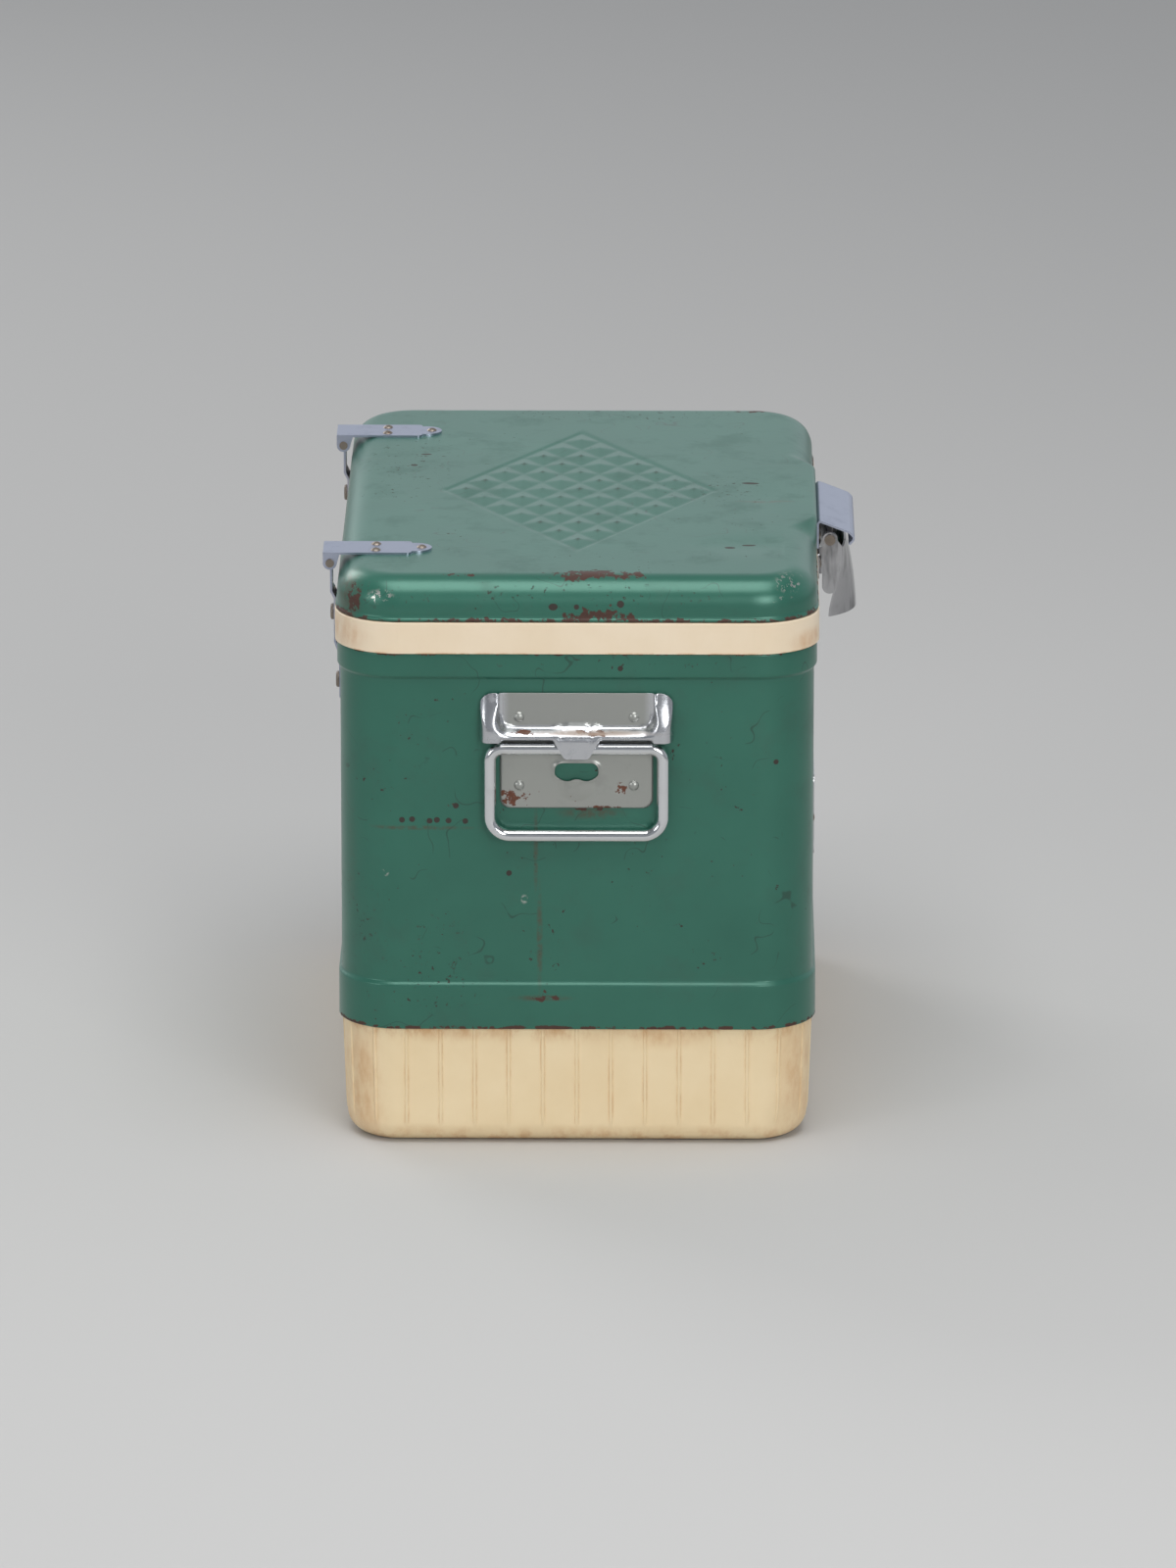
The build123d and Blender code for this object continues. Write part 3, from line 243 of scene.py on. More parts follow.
def as_sheet(piece, thickness):
    """Gives a surface the thickness of its sheet, behind its face."""
    wall = piece.modifiers.new("sheet", "SOLIDIFY")
    wall.thickness = thickness
    wall.offset = -1


def grid_faces(rows, columns, close_rows, close_columns):
    """Quads of a grid of points, wrapped round where asked, as an array of corner numbers."""
    row = np.arange(rows if close_rows else rows - 1)
    column = np.arange(columns if close_columns else columns - 1)
    i, j = np.meshgrid(row, column, indexing="ij")
    next_row = (i + 1) % rows
    next_column = (j + 1) % columns
    corners = (i * columns + j, i * columns + next_column,
               next_row * columns + next_column, next_row * columns + j)
    return np.stack(corners, -1).reshape(-1, 4)


def ring_faces(number):
    """Quads between closed rings of points, from their numbers with a row for each ring."""
    following = np.roll(number, -1, axis=1)
    return np.stack([number[:-1], number[1:], following[1:], following[:-1]], -1).reshape(-1, 4)


def walk(half_x, half_y, radius, distance):
    """Spine points and outward directions round a rounded rectangle.

    The spine is the inner rectangle that the corner arcs turn about. Its point moves along the straights
    and waits at the arcs, while the outward angle waits at the straights and turns at the arcs, so both
    are piecewise linear in the distance walked from the middle of the near end.
    """
    a = half_x - radius
    b = half_y - radius
    arc = radius * math.pi / 2
    runs = np.cumsum([0, a, arc, 2 * b, arc, 2 * a, arc, 2 * b, arc, a])
    x = np.interp(distance, runs, [0, a, a, a, a, -a, -a, -a, -a, 0])
    y = np.interp(distance, runs, [-b, -b, -b, b, b, b, b, -b, -b, -b])
    angle = np.radians(np.interp(distance, runs, [-90, -90, 0, 0, 90, 90, 180, 180, 270, 270]))
    return np.stack([x, y], -1), np.stack([np.cos(angle), np.sin(angle)], -1)


def way_round(half_x, half_y, radius):
    """Length of the way round a rounded rectangle."""
    return 4 * (half_x + half_y - 2 * radius) + 2 * math.pi * radius


def even_marks(half_x, half_y, radius, x_count, y_count, arc_count):
    """Distances walked round a rounded rectangle, with set numbers of steps on its straights and arcs."""
    x_run = (half_x - radius, x_count)
    both_x_runs = (2 * x_run[0], 2 * x_count)
    y_run = (2 * (half_y - radius), y_count)
    arc = (radius * math.pi / 2, arc_count)
    runs = [x_run, arc, y_run, arc, both_x_runs, arc, y_run, arc, x_run]
    starts = np.cumsum([0] + [length for length, count in runs])
    return np.concatenate([start + length * np.arange(count) / count
                           for start, (length, count) in zip(starts, runs)])


def swept(spine, outward, radius, profile, relief=0):
    """A profile of offsets and heights carried round: spine + outward * (radius + offset + relief)."""
    offset = np.repeat(profile[:, :1], len(spine), axis=1) + relief
    height = np.repeat(profile[:, 1:], len(spine), axis=1)
    flat = spine[None, :, :] + outward[None, :, :] * (radius + offset)[..., None]
    return np.concatenate([flat, height[..., None]], -1)


def arc_run(centre, radius, start, end, count):
    """Points of an arc in a profile, as offset and height, with angles in degrees."""
    angle = np.radians(np.linspace(start, end, count))
    return np.stack([centre[0] + radius * np.cos(angle), centre[1] + radius * np.sin(angle)], -1)


# Finishes
def colour(red, green, blue):
    """A colour in linear light from its usual 0 to 255 values."""
    def straight(value):
        part = value / 255
        return part / 12.92 if part <= 0.04045 else ((part + 0.055) / 1.055) ** 2.4
    return (straight(red), straight(green), straight(blue), 1)


def fill(node, **values):
    """Gives a node's sockets plain values; in their names an underline stands for a space."""
    for key, value in values.items():
        node.inputs[key.replace("_", " ")].default_value = value


def ramp(tree, value, low, high, at_low, at_high):
    """A node that takes a value smoothly from one level at low to another at high."""
    node = tree.nodes.new("ShaderNodeMapRange")
    node.interpolation_type = "SMOOTHSTEP"
    fill(node, From_Min=low, From_Max=high, To_Min=at_low, To_Max=at_high)
    tree.links.new(value, node.inputs["Value"])
    return node.outputs["Result"]


class Finish:
    """A material and the few kinds of node that these finishes are mixed from."""

    def __init__(self, name):
        self.material = bpy.data.materials.new(name)
        self.material.use_nodes = True
        self.tree = self.material.node_tree
        self.shader = self.tree.nodes["Principled BSDF"]
        self.place = self.add("ShaderNodeTexCoord").outputs["Object"]

    def add(self, kind, **settings):
        node = self.tree.nodes.new(kind)
        for key, value in settings.items():
            setattr(node, key, value)
        return node

    def put(self, value, socket):
        """Link a socket to another node's output, or give it a plain value."""
        if isinstance(value, bpy.types.NodeSocket):
            self.tree.links.new(value, socket)
        else:
            socket.default_value = value

    def stretched(self, stretch, shift=(0, 0, 0)):
        """Object coordinates, scaled and moved."""
        mapping = self.add("ShaderNodeMapping")
        self.put(self.place, mapping.inputs["Vector"])
        fill(mapping, Scale=stretch, Location=shift)
        return mapping.outputs["Vector"]

    def noise(self, size, detail=3, rough=0.5, stretch=(1, 1, 1), shift=(0, 0, 0)):
        """Cloudy noise whose blobs are about size wide."""
        node = self.add("ShaderNodeTexNoise")
        self.put(self.stretched(stretch, shift), node.inputs["Vector"])
        fill(node, Scale=1 / size, Detail=detail, Roughness=rough)
        return node.outputs["Fac"]

    def calculate(self, operation, *values):
        """One operation carried through the values from the first to the last."""
        total = values[0]
        for value in values[1:]:
            node = self.add("ShaderNodeMath", operation=operation)
            self.put(total, node.inputs[0])
            self.put(value, node.inputs[1])
            total = node.outputs[0]
        return total

    def times(self, *values):
        return self.calculate("MULTIPLY", *values)

    def most(self, *values):
        return self.calculate("MAXIMUM", *values)

    def plus(self, *values):
        return self.calculate("ADD", *values)

    def absolute(self, value):
        return self.calculate("ABSOLUTE", value, 0)

    def step(self, value, low, high):
        """0 below low and 1 above high, or the other way round where low is the larger."""
        if low > high:
            return ramp(self.tree, value, high, low, 1, 0)
        return ramp(self.tree, value, low, high, 0, 1)

    def axis(self, name):
        node = self.add("ShaderNodeSeparateXYZ")
        self.put(self.place, node.inputs[0])
        return node.outputs[name]

    def mark(self, name):
        """A value that the piece's own points carry."""
        return self.add("ShaderNodeAttribute", attribute_name=name).outputs["Fac"]

    def spot(self, centre, reach):
        """1 at a named place and 0 past its reach along each axis."""
        stretch = tuple(1 / part for part in reach)
        shift = tuple(-part / size for part, size in zip(centre, reach))
        length = self.add("ShaderNodeVectorMath", operation="LENGTH")
        self.put(self.stretched(stretch, shift), length.inputs[0])
        return self.step(length.outputs["Value"], 1, 0.25)

    def marks_at(self, places):
        """The most of several soft spots, each a row of its centre and its reach."""
        return self.most(*[self.spot(row[:3], row[3:]) for row in places])

    def specks(self, size, share, shift):
        """Scattered specks about size wide; a smaller share keeps only the strongest."""
        fine = self.noise(size, rough=0.6, shift=shift)
        wide = self.noise(size * 12, detail=2, shift=shift)
        total = self.plus(self.times(fine, 0.7), self.times(wide, 0.3))
        return self.step(total, 0.72 - share, 0.74 - share)

    def blend(self, amount, under, over):
        """A mix of two colours, by the mix node's colour sockets."""
        node = self.add("ShaderNodeMix", data_type="RGBA")
        self.put(amount, node.inputs["Factor"])
        self.put(under, node.inputs[6])
        self.put(over, node.inputs[7])
        return node.outputs[2]

    def level(self, amount, under, over):
        """A mix of two values, by the mix node's value sockets."""
        node = self.add("ShaderNodeMix", data_type="FLOAT")
        self.put(amount, node.inputs["Factor"])
        self.put(under, node.inputs[2])
        self.put(over, node.inputs[3])
        return node.outputs[0]

    def finish(self, base, roughness, metallic=0.0, height=None, depth=0.0, **fixed):
        """Wire colour, roughness, metal and bump; other sockets get plain values."""
        self.put(base, self.shader.inputs["Base Color"])
        self.put(roughness, self.shader.inputs["Roughness"])
        self.put(metallic, self.shader.inputs["Metallic"])
        fill(self.shader, **fixed)
        if height is not None:
            bump = self.add("ShaderNodeBump")
            fill(bump, Distance=depth, Strength=1)
            self.put(height, bump.inputs["Height"])
            self.put(bump.outputs["Normal"], self.shader.inputs["Normal"])
        return self.material


RUST_DARK = colour(54, 38, 33)
RUST_LIGHT = colour(86, 54, 42)
RUST_ON_PLATE = colour(130, 78, 56)
RUN_BROWN = colour(84, 66, 50)
GREEN = colour(54, 117, 99)
GREEN_DEEP = colour(39, 96, 80)
GREEN_GRIME = colour(56, 84, 74)
GREEN_SCORED = colour(38, 58, 50)
CHIP_DARK = colour(38, 46, 42)
CREAM = colour(246, 230, 206)
CREAM_TUB = colour(250, 230, 192)
CREAM_AGED = (0.86, 0.80, 0.70, 1)
TAN = colour(204, 148, 90)
SPECK_BROWN = colour(110, 84, 56)
BARE_STEEL = colour(196, 196, 190)
PANEL_GREY = colour(170, 172, 168)
FILM_BROWN = colour(160, 142, 128)
# Near-black of the streaks painted on the latch's chrome as its reflection of dark surroundings
REFLECTION_DARK = colour(34, 34, 37)
FLOOR_GREY = colour(197, 196, 194)


def enamel(name, wear, edge_rust, peaks=None):
    """Satin green enamel over steel.

    wear holds rows of places: rust eats patches, dots are single chips, streaks are thin brown runs,
    bare is enamel scraped to bright steel, speckled is sprinkled with chips. edge_rust gives the hem's
    rust, and peaks names the mark of the points that are rubbed.
    """
    coat = Finish(name)
    mottle = coat.noise(0.11, detail=4, rough=0.6)
    grit = coat.noise(0.0045, detail=4, rough=0.7, shift=(1, 2, 3))
    patch = coat.noise(0.008, detail=5, rough=0.68)
    eaten = coat.most(coat.marks_at(wear["rust"]), edge_rust(coat))
    rust = coat.step(coat.plus(patch, coat.times(eaten, 0.20)), 0.665, 0.685)
    rust = coat.times(rust, coat.step(eaten, 0.05, 0.25))
    dots = coat.step(coat.plus(coat.times(grit, 0.5), coat.marks_at(wear["dots"])), 0.72, 0.80)
    if peaks:
        worn_here = coat.step(coat.noise(0.06, shift=(5, 1, 1)), 0.40, 0.55)
        dots = coat.most(dots, coat.times(coat.mark(peaks), worn_here, 0.8))
    contour = coat.absolute(coat.plus(coat.noise(0.055, detail=2, shift=(2, 7, 4)), -0.5))
    scored_here = coat.step(coat.noise(0.03, shift=(9, 2, 2)), 0.52, 0.58)
    scored = coat.times(coat.step(contour, 0.0032, 0.0012), scored_here)
    sprinkle = coat.times(coat.marks_at(wear["speckled"]), coat.step(grit, 0.625, 0.65))
    run = coat.times(coat.marks_at(wear["streaks"]), coat.step(grit, 0.30, 0.62))
    bare = coat.times(coat.marks_at(wear["bare"]), coat.step(grit, 0.53, 0.56))
    chipped = coat.most(dots, sprinkle, coat.specks(0.0042, 0.055, (7, 3, 5)))
    grime = coat.step(coat.noise(0.035, detail=5, rough=0.65, shift=(1, 5, 2)), 0.50, 0.72)
    green = coat.blend(mottle, GREEN_DEEP, GREEN)
    green = coat.blend(coat.times(grime, 0.22), green, GREEN_GRIME)
    green = coat.blend(coat.times(run, 0.6), green, RUN_BROWN)
    green = coat.blend(coat.times(scored, 0.55), green, GREEN_SCORED)
    tint = coat.blend(coat.noise(0.0025, detail=5, rough=0.75), RUST_DARK, RUST_LIGHT)
    base = coat.blend(chipped, green, coat.blend(0.35, CHIP_DARK, tint))
    base = coat.blend(rust, base, tint)
    base = coat.blend(bare, base, BARE_STEEL)
    broken = coat.most(rust, chipped)
    rough = coat.plus(coat.level(broken, 0.33, 0.85), coat.times(grime, 0.08))
    rough = coat.level(bare, rough, 0.3)
    metal = coat.level(bare, coat.level(broken, 0.30, 0.0), 1.0)
    peel = coat.plus(coat.times(coat.noise(0.005, detail=2), 0.12), coat.times(coat.noise(0.0012), 0.04))
    eroded = coat.plus(coat.times(broken, -0.5), coat.times(rust, grit, 0.6))
    relief = coat.plus(peel, eroded)
    return coat.finish(base, rough, metal, relief, 0.0003, Coat_Weight=0.22, Coat_Roughness=0.28)


def cream_plastic(name, base, stain_places, dirt_edge, speck_share, groove_mark=None):
    """Aged cream plastic with brown stains, dark specks, fine upright scuffs and a soft sheen.

    The last argument names a mark of points that are darkened brown where it is high.
    """
    skin = Finish(name)
    age = skin.noise(0.05, detail=5, rough=0.6)
    shade = skin.blend(age, base, tuple(part * tone for part, tone in zip(base, CREAM_AGED)))
    cloud = skin.noise(0.014, detail=5, rough=0.65, stretch=(1, 1, 0.5))
    edge = dirt_edge(skin)
    if groove_mark:
        # Darker brown wherever the named mark is high: the grooves beside the tub's flutes
        edge = skin.most(edge, skin.times(skin.mark(groove_mark), 0.7))
    stained = skin.times(skin.marks_at(stain_places), skin.step(cloud, 0.25, 0.80))
    brown = skin.most(stained, skin.times(edge, skin.step(cloud, 0.42, 0.66)))
    shade = skin.blend(skin.times(brown, 0.7), shade, TAN)
    fine = skin.specks(0.004, speck_share, (2, 2, 2))
    shade = skin.blend(skin.times(fine, 0.65), shade, SPECK_BROWN)
    scuff = skin.noise(0.002, stretch=(1, 1, 0.15))
    relief = skin.plus(skin.times(scuff, 0.10), skin.times(skin.noise(0.014), 0.35))
    rough = skin.plus(0.36, skin.times(age, 0.2))
    return skin.finish(shade, rough, 0, relief, 0.0002)


def plated(name, base, rough, brush, pits, metal=1.0, satin=None, tarnish=(), dark_reflection=0):
    """Plated sheet or bar: metal with fine scratches, dull patches, pits, and rust at the handles' places.

    satin gives the area of a flat grey panel and tarnish the places of a brown film. The last argument
    gives the strength of dark upright streaks, a painted reflection of dark surroundings on the chrome.
    """
    plate = Finish(name)
    cloud = plate.noise(0.016, detail=5, rough=0.65)
    scratch = plate.noise(0.0012, stretch=brush)
    dull = plate.step(cloud, 0.50, 0.75)
    patch = plate.noise(0.006, detail=5, rough=0.7, shift=(2, 6, 1))
    eaten = plate.marks_at(HANDLE_RUST)
    rust = plate.step(plate.plus(patch, plate.times(eaten, 0.22)), 0.66, 0.69)
    rust = plate.times(rust, plate.step(eaten, 0.02, 0.2))
    broken = plate.most(rust, plate.specks(0.0028, pits, (4, 1, 3)))
    tint = plate.blend(plate.noise(0.0022, detail=5, rough=0.75), RUST_DARK, RUST_ON_PLATE)
    faded = tuple(0.72 * part for part in base[:3]) + (1,)
    shade = plate.blend(plate.times(dull, 0.35), base, faded)
    shade = plate.blend(broken, shade, tint)
    roughness = plate.plus(rough, plate.plus(plate.times(dull, 0.12), plate.times(scratch, 0.04)))
    roughness = plate.level(broken, roughness, 0.8)
    metallic = plate.level(broken, metal, 0.05)
    if tarnish:
        film = plate.times(plate.marks_at(tarnish), plate.step(cloud, 0.34, 0.50))
        shade = plate.blend(plate.times(film, 0.8), shade, FILM_BROWN)
        roughness = plate.level(film, roughness, 0.5)
        metallic = plate.level(film, metallic, 0.25)
    if satin:
        area = satin(plate)
        shade = plate.blend(area, shade, plate.blend(broken, PANEL_GREY, tint))
        roughness = plate.level(area, roughness, 0.36)
    if dark_reflection:
        # Painted reflection: dark upright streaks stand in for dark surroundings mirrored in the chrome
        reflection_smear = plate.step(plate.noise(0.009, stretch=(1, 1, 0.2)), 0.45, 0.70)
        shade = plate.blend(plate.times(reflection_smear, dark_reflection), shade, REFLECTION_DARK)
    worn = plate.plus(plate.times(cloud, 0.4), plate.times(broken, -0.4))
    relief = plate.plus(plate.times(scratch, 0.02), worn)
    return plate.finish(shade, roughness, metallic, relief, 0.00015)


def moulded(name, base, deep, rough, grain, grain_depth):
    """Moulded plastic, rubber or foam with an even grain and slight soiling."""
    body = Finish(name)
    soil = body.step(body.noise(0.04, detail=5, rough=0.6), 0.4, 0.8)
    shade = body.blend(body.times(soil, 0.5), base, deep)
    relief = body.plus(body.noise(grain), body.times(body.noise(grain * 9, detail=2), 0.5))
    return body.finish(shade, body.plus(rough, body.times(soil, 0.15)), 0, relief, grain_depth)


def panel_area(plate):
    """The flat satin panel of a handle's upper stamping."""
    within = plate.step(plate.absolute(plate.axis("X")), HOUSING_HALF - COLUMN, 0.045)
    ridge_top = HOUSING_FOOT + RIDGE
    return plate.times(within, plate.step(plate.axis("Z"), ridge_top, ridge_top + 0.003))


def lid_edge(coat):
    """Rust along the hem of the lid."""
    return coat.times(coat.step(coat.axis("Z"), LID_LOW.z + 0.0045, LID_LOW.z + 0.001), 0.9)


def jacket_edge(coat):
    """Rust along the bottom hem and under the band."""
    height = coat.axis("Z")
    hem = coat.step(height, JACKET_LOW.z + 0.0036, JACKET_LOW.z + 0.0014)
    return coat.most(hem, coat.times(coat.step(height, BAND_LOW.z - 0.003, BAND_LOW.z), 0.8))


def tub_edge(skin):
    """Stains under the jacket and along the foot."""
    height = skin.axis("Z")
    under = skin.step(height, JACKET_LOW.z - 0.014, JACKET_LOW.z)
    foot = skin.times(skin.step(height, 0.016, 0.002), 0.8)
    return skin.most(under, foot)


def band_edge(skin):
    """Dirt in the joints above and below the band."""
    height = skin.axis("Z")
    low = skin.step(height, BAND_LOW.z + 0.0015, BAND_LOW.z)
    return skin.most(low, skin.times(skin.step(height, BAND_HIGH.z - 0.0012, BAND_HIGH.z), 0.3))


# Lid
def lid_lines():
    """Grid lines over the lid: even steps over the rhombus, which its creases cross at points."""
    inner_x = LID_X - ROLL - PAD_ROUND
    inner_y = LID_Y - ROLL - PAD_ROUND
    lines = []
    for half, end, steps in ((DIAMOND_X / 2, inner_x, 14), (DIAMOND_Y / 2, inner_y, 16)):
        middle = np.linspace(-half, half, CELLS * STEPS_PER_CELL + 1)
        beside = np.linspace(half, end, steps)[1:]
        lines.append(np.concatenate([-beside[::-1], middle, beside]))
    return lines[0], lines[1], inner_x, inner_y


def rhombus(x, y):
    """Distances across the rhombus, p = x/W + y/L and q = x/W - y/L, and the same in its cell.

    The rhombus is where both are within a half, and so is each cell of 1/n once it is scaled by n.
    """
    p = x / DIAMOND_X + y / DIAMOND_Y
    q = x / DIAMOND_X - y / DIAMOND_Y
    cell_p = np.abs((CELLS * (p + 0.5)) % 1 - 0.5)
    cell_q = np.abs((CELLS * (q + 0.5)) % 1 - 0.5)
    return np.maximum(np.abs(p), np.abs(q)), cell_p, cell_q


def emboss(x, y):
    """Height of the embossing: a rhombus of cells, each a low pyramid, in a shallow moat."""
    far, cell_p, cell_q = rhombus(x, y)
    rise = 1 - 2 * (cell_p ** CREASE_NORM + cell_q ** CREASE_NORM) ** (1 / CREASE_NORM)
    edge = (far - 0.5) * DIAMOND_X * EDGE_ACROSS
    moat = -VALLEY * (1 - ease(edge, MOAT_START, MOAT_END))
    return np.where(edge <= 1e-7, (PYRAMID + VALLEY) * np.clip(rise, 0, 1) - VALLEY, moat)


def peaks(x, y):
    """1 at the tip of each pyramid, falling away within a few millimetres."""
    far, cell_p, cell_q = rhombus(x, y)
    away = np.maximum(cell_p, cell_q) * DIAMOND_X / CELLS
    return (far < 0.5) * np.exp(-(away / TIP_REACH) ** 2)


def lid_profile(pad):
    """Offset and height of the lid's edge, from its flat out over the roll and down the skirt to the hem.

    pad is 0 on the rolled edge and 1 on the squared pad, where the roll shrinks and stands proud.
    """
    flat = np.linspace(0, 1, 5)[1:, None]
    turn = np.radians(np.linspace(0, 90, 15)[1:, None])
    drop = np.linspace(0, 1, 6)[1:, None]
    hem_turn = np.radians(np.linspace(60, -90, 7))[:, None]
    pad = pad[None, :]
    radius = ROLL - (ROLL - PAD_ROUND) * pad
    face = ROLL + PAD_PROUD * pad
    flat_end = face - radius
    hem_middle = LID_LOW.z + HEM_HEIGHT / 2
    skirt_end = hem_middle + HEM_HEIGHT / 2 + HEM_LAP
    bulge = HEM_PROUD * (1 - pad) + 0.02 * MM
    offsets = [-PAD_ROUND + (flat_end + PAD_ROUND) * flat,
               flat_end + radius * np.sin(turn),
               face + 0 * drop,
               face - HEM_SINK + bulge * np.cos(hem_turn)]
    heights = [LID_FLAT + 0 * (face + flat),
               LID_FLAT - radius + radius * np.cos(turn),
               LID_FLAT - radius + (skirt_end - LID_FLAT + radius) * drop,
               hem_middle + HEM_HEIGHT / 2 * np.sin(hem_turn) + 0 * face]
    return np.concatenate(offsets), np.concatenate(heights)


def plate_faces(number):
    """Triangles of the lid's grid, cut so that the pyramids' creases run along their edges."""
    rows, columns = number.shape
    i, j = np.meshgrid(np.arange(rows - 1), np.arange(columns - 1), indexing="ij")
    a = number[i, j]
    b = number[i + 1, j]
    c = number[i + 1, j + 1]
    d = number[i, j + 1]
    from_middle = i + j + 1 - rows // 2 - columns // 2 - STEPS_PER_CELL // 2
    other_way = (from_middle % STEPS_PER_CELL == 0)[..., None]
    first = np.where(other_way, np.stack([a, b, d], -1), np.stack([a, b, c], -1))
    second = np.where(other_way, np.stack([b, c, d], -1), np.stack([a, c, d], -1))
    return first.reshape(-1, 3).tolist() + second.reshape(-1, 3).tolist()


def lid():
    """The lid: a grid bent to rounded corners, then rings carried out over its edge.

    In each corner square the grid's distance is the larger of its two offsets, and its direction stays,
    so that the square's rim becomes the corner's arc.
    """
    x_lines, y_lines, inner_x, inner_y = lid_lines()
    radius = LID_CORNER - ROLL - PAD_ROUND
    x, y = np.meshgrid(x_lines, y_lines, indexing="ij")
    spine_x = np.clip(x, -(inner_x - radius), inner_x - radius)
    spine_y = np.clip(y, -(inner_y - radius), inner_y - radius)
    off_x = x - spine_x
    off_y = y - spine_y
    far = np.maximum(np.abs(off_x), np.abs(off_y))
    length = np.hypot(off_x, off_y)
    aim_x = np.divide(off_x, length, out=np.zeros_like(x), where=length > 0)
    aim_y = np.divide(off_y, length, out=np.zeros_like(x), where=length > 0)
    plate_x = spine_x + aim_x * far
    plate_y = spine_y + aim_y * far
    plate_z = LID_FLAT + emboss(plate_x, plate_y) - knocked(plate_x, plate_y, LID_KNOCKS)
    plate = np.stack([plate_x, plate_y, plate_z], -1).reshape(-1, 3)

    number = np.arange(x.size).reshape(x.shape)
    rim = np.concatenate([number[:-1, 0], number[-1, :-1], number[:0:-1, -1], number[0, :0:-1]])
    spine = np.stack([spine_x, spine_y], -1).reshape(-1, 2)[rim]
    aim = np.stack([aim_x, aim_y], -1).reshape(-1, 2)[rim]
    on_front = aim[:, 0] > 0.99
    pad = (1 - ease(np.abs(plate[rim, 1]), PAD_HALF, PAD_HALF + PAD_FADE)) * on_front
    offset, height = lid_profile(pad)
    flat = spine[None] + aim[None] * (radius + PAD_ROUND + offset)[..., None]
    edge = np.concatenate([flat, height[..., None]], -1).reshape(-1, 3)
    rings = np.concatenate([rim[None], len(plate) + np.arange(len(edge)).reshape(height.shape)])
    faces = plate_faces(number) + ring_faces(rings).tolist()
    tips = np.concatenate([peaks(plate_x, plate_y).reshape(-1), np.zeros(len(edge))])
    cover = new_piece("lid_cover", "lid", np.concatenate([plate, edge]), faces,
                      enamel("lid_green_enamel", LID_WEAR, lid_edge, "tip"), "lid_enamel", tip=tips)
    as_sheet(cover, STEEL)
    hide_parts("lid_shell")


# Jacket
def jacket_profile():
    """Closed profile of the jacket's sheet: hem, flare, wall, bead and tuck outside, then back inside."""
    bottom = JACKET_LOW.z
    top = BAND_LOW.z
    rise = np.linspace(0, 1, 11)
    swell = ease(rise, 0, 1)
    flare = np.stack([STEP * (1 - swell), FLARE_TOP - 5 * MM + STEP_SLOPE * rise], -1)
    bead = np.stack([STEP * swell, BEAD_BOTTOM - STEP_SLOPE + STEP_SLOPE * rise], -1)
    inside = [(-STEEL, JACKET_HIGH.z), (-STEEL, top - 4 * MM), (-STEEL, FLARE_TOP + 2 * MM),
              (STEP - STEEL, FLARE_TOP - 7 * MM), (STEP - STEEL, bottom + HEM_FOLD),
              (-0.5 * MM, bottom + HEM_FOLD), (-0.5 * MM, bottom)]
    runs = [arc_run((STEP - HEM_ROUND, bottom + HEM_ROUND), HEM_ROUND, -90, 0, 5),
            np.linspace((STEP, bottom + 1.4 * MM), flare[0], 8)[:-1],
            flare,
            np.linspace(flare[-1], bead[0], 56)[1:-1],
            bead,
            np.linspace(bead[-1], (STEP, top - SHOULDER), 6)[1:-1],
            arc_run((STEP - SHOULDER, top - SHOULDER), SHOULDER, 0, 90, 7),
            np.linspace((0, top), (-TUCK, top), 2),
            np.linspace((-TUCK, top + 1 * MM), (-TUCK, JACKET_HIGH.z), 4),
            np.array(inside)]
    return np.concatenate(runs)


def jacket_dents(points):
    """How far in the sheet is knocked, kept off the pieces that are fixed to it."""
    x = points[..., 0]
    y = points[..., 1]
    z = points[..., 2]
    below_handle = z < 0.235
    wave = 0.25 * MM * (1 - np.cos(x * 60 + z * 25)) * hump(x, z, (0, 0.2), (0.11, 0.07))
    on_end = knocked(x, z, END_KNOCKS) + wave * below_handle
    on_sides = knocked(y, z, SIDE_KNOCKS) * (np.abs(x) > WALL_X - 0.01)
    return np.where(y < -WALL_Y + 0.02, on_end, on_sides)


def jacket():
    """The jacket: its closed profile carried round the body."""
    marks = even_marks(WALL_X, WALL_Y, CORNER, 30, 80, 26)
    spine, outward = walk(WALL_X, WALL_Y, CORNER, marks)
    points = swept(spine, outward, CORNER, jacket_profile())
    points[..., :2] -= outward[None] * jacket_dents(points)[..., None]
    faces = grid_faces(*points.shape[:2], True, True)
    shell = new_piece("jacket_shell", "chest", points, faces.tolist(),
                      enamel("jacket_green_enamel", JACKET_WEAR, jacket_edge), "green_enamel")
    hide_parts("outer_jacket")


# Tub
def flute_marks():
    """Distances walked round the tub: fine steps across each flute and a few between flutes.

    The pitch is stretched a little so that the flutes meet evenly on the middle of each long side.
    """
    total = way_round(WALL_X, WALL_Y, CORNER)
    halves = round(total / 2 / FLUTE_PITCH)
    pitch = total / 2 / halves
    count = 2 * halves
    side = np.array([0.25, 0.5, 0.75, 0.95, 1.25, 1.6, 1.9])
    across = np.concatenate([-side[::-1], [0], side]) * FLUTE_HALF
    between = np.linspace(-0.5, 0.5, 9)[:-1] * pitch
    between = between[np.abs(between) > 2 * FLUTE_HALF]
    local = np.sort(np.concatenate([across, between]))
    marks = (np.arange(count)[:, None] * pitch + local[None]).reshape(-1)
    beside = np.broadcast_to(local[None], (count, len(local))).reshape(-1)
    return np.mod(marks, total), beside


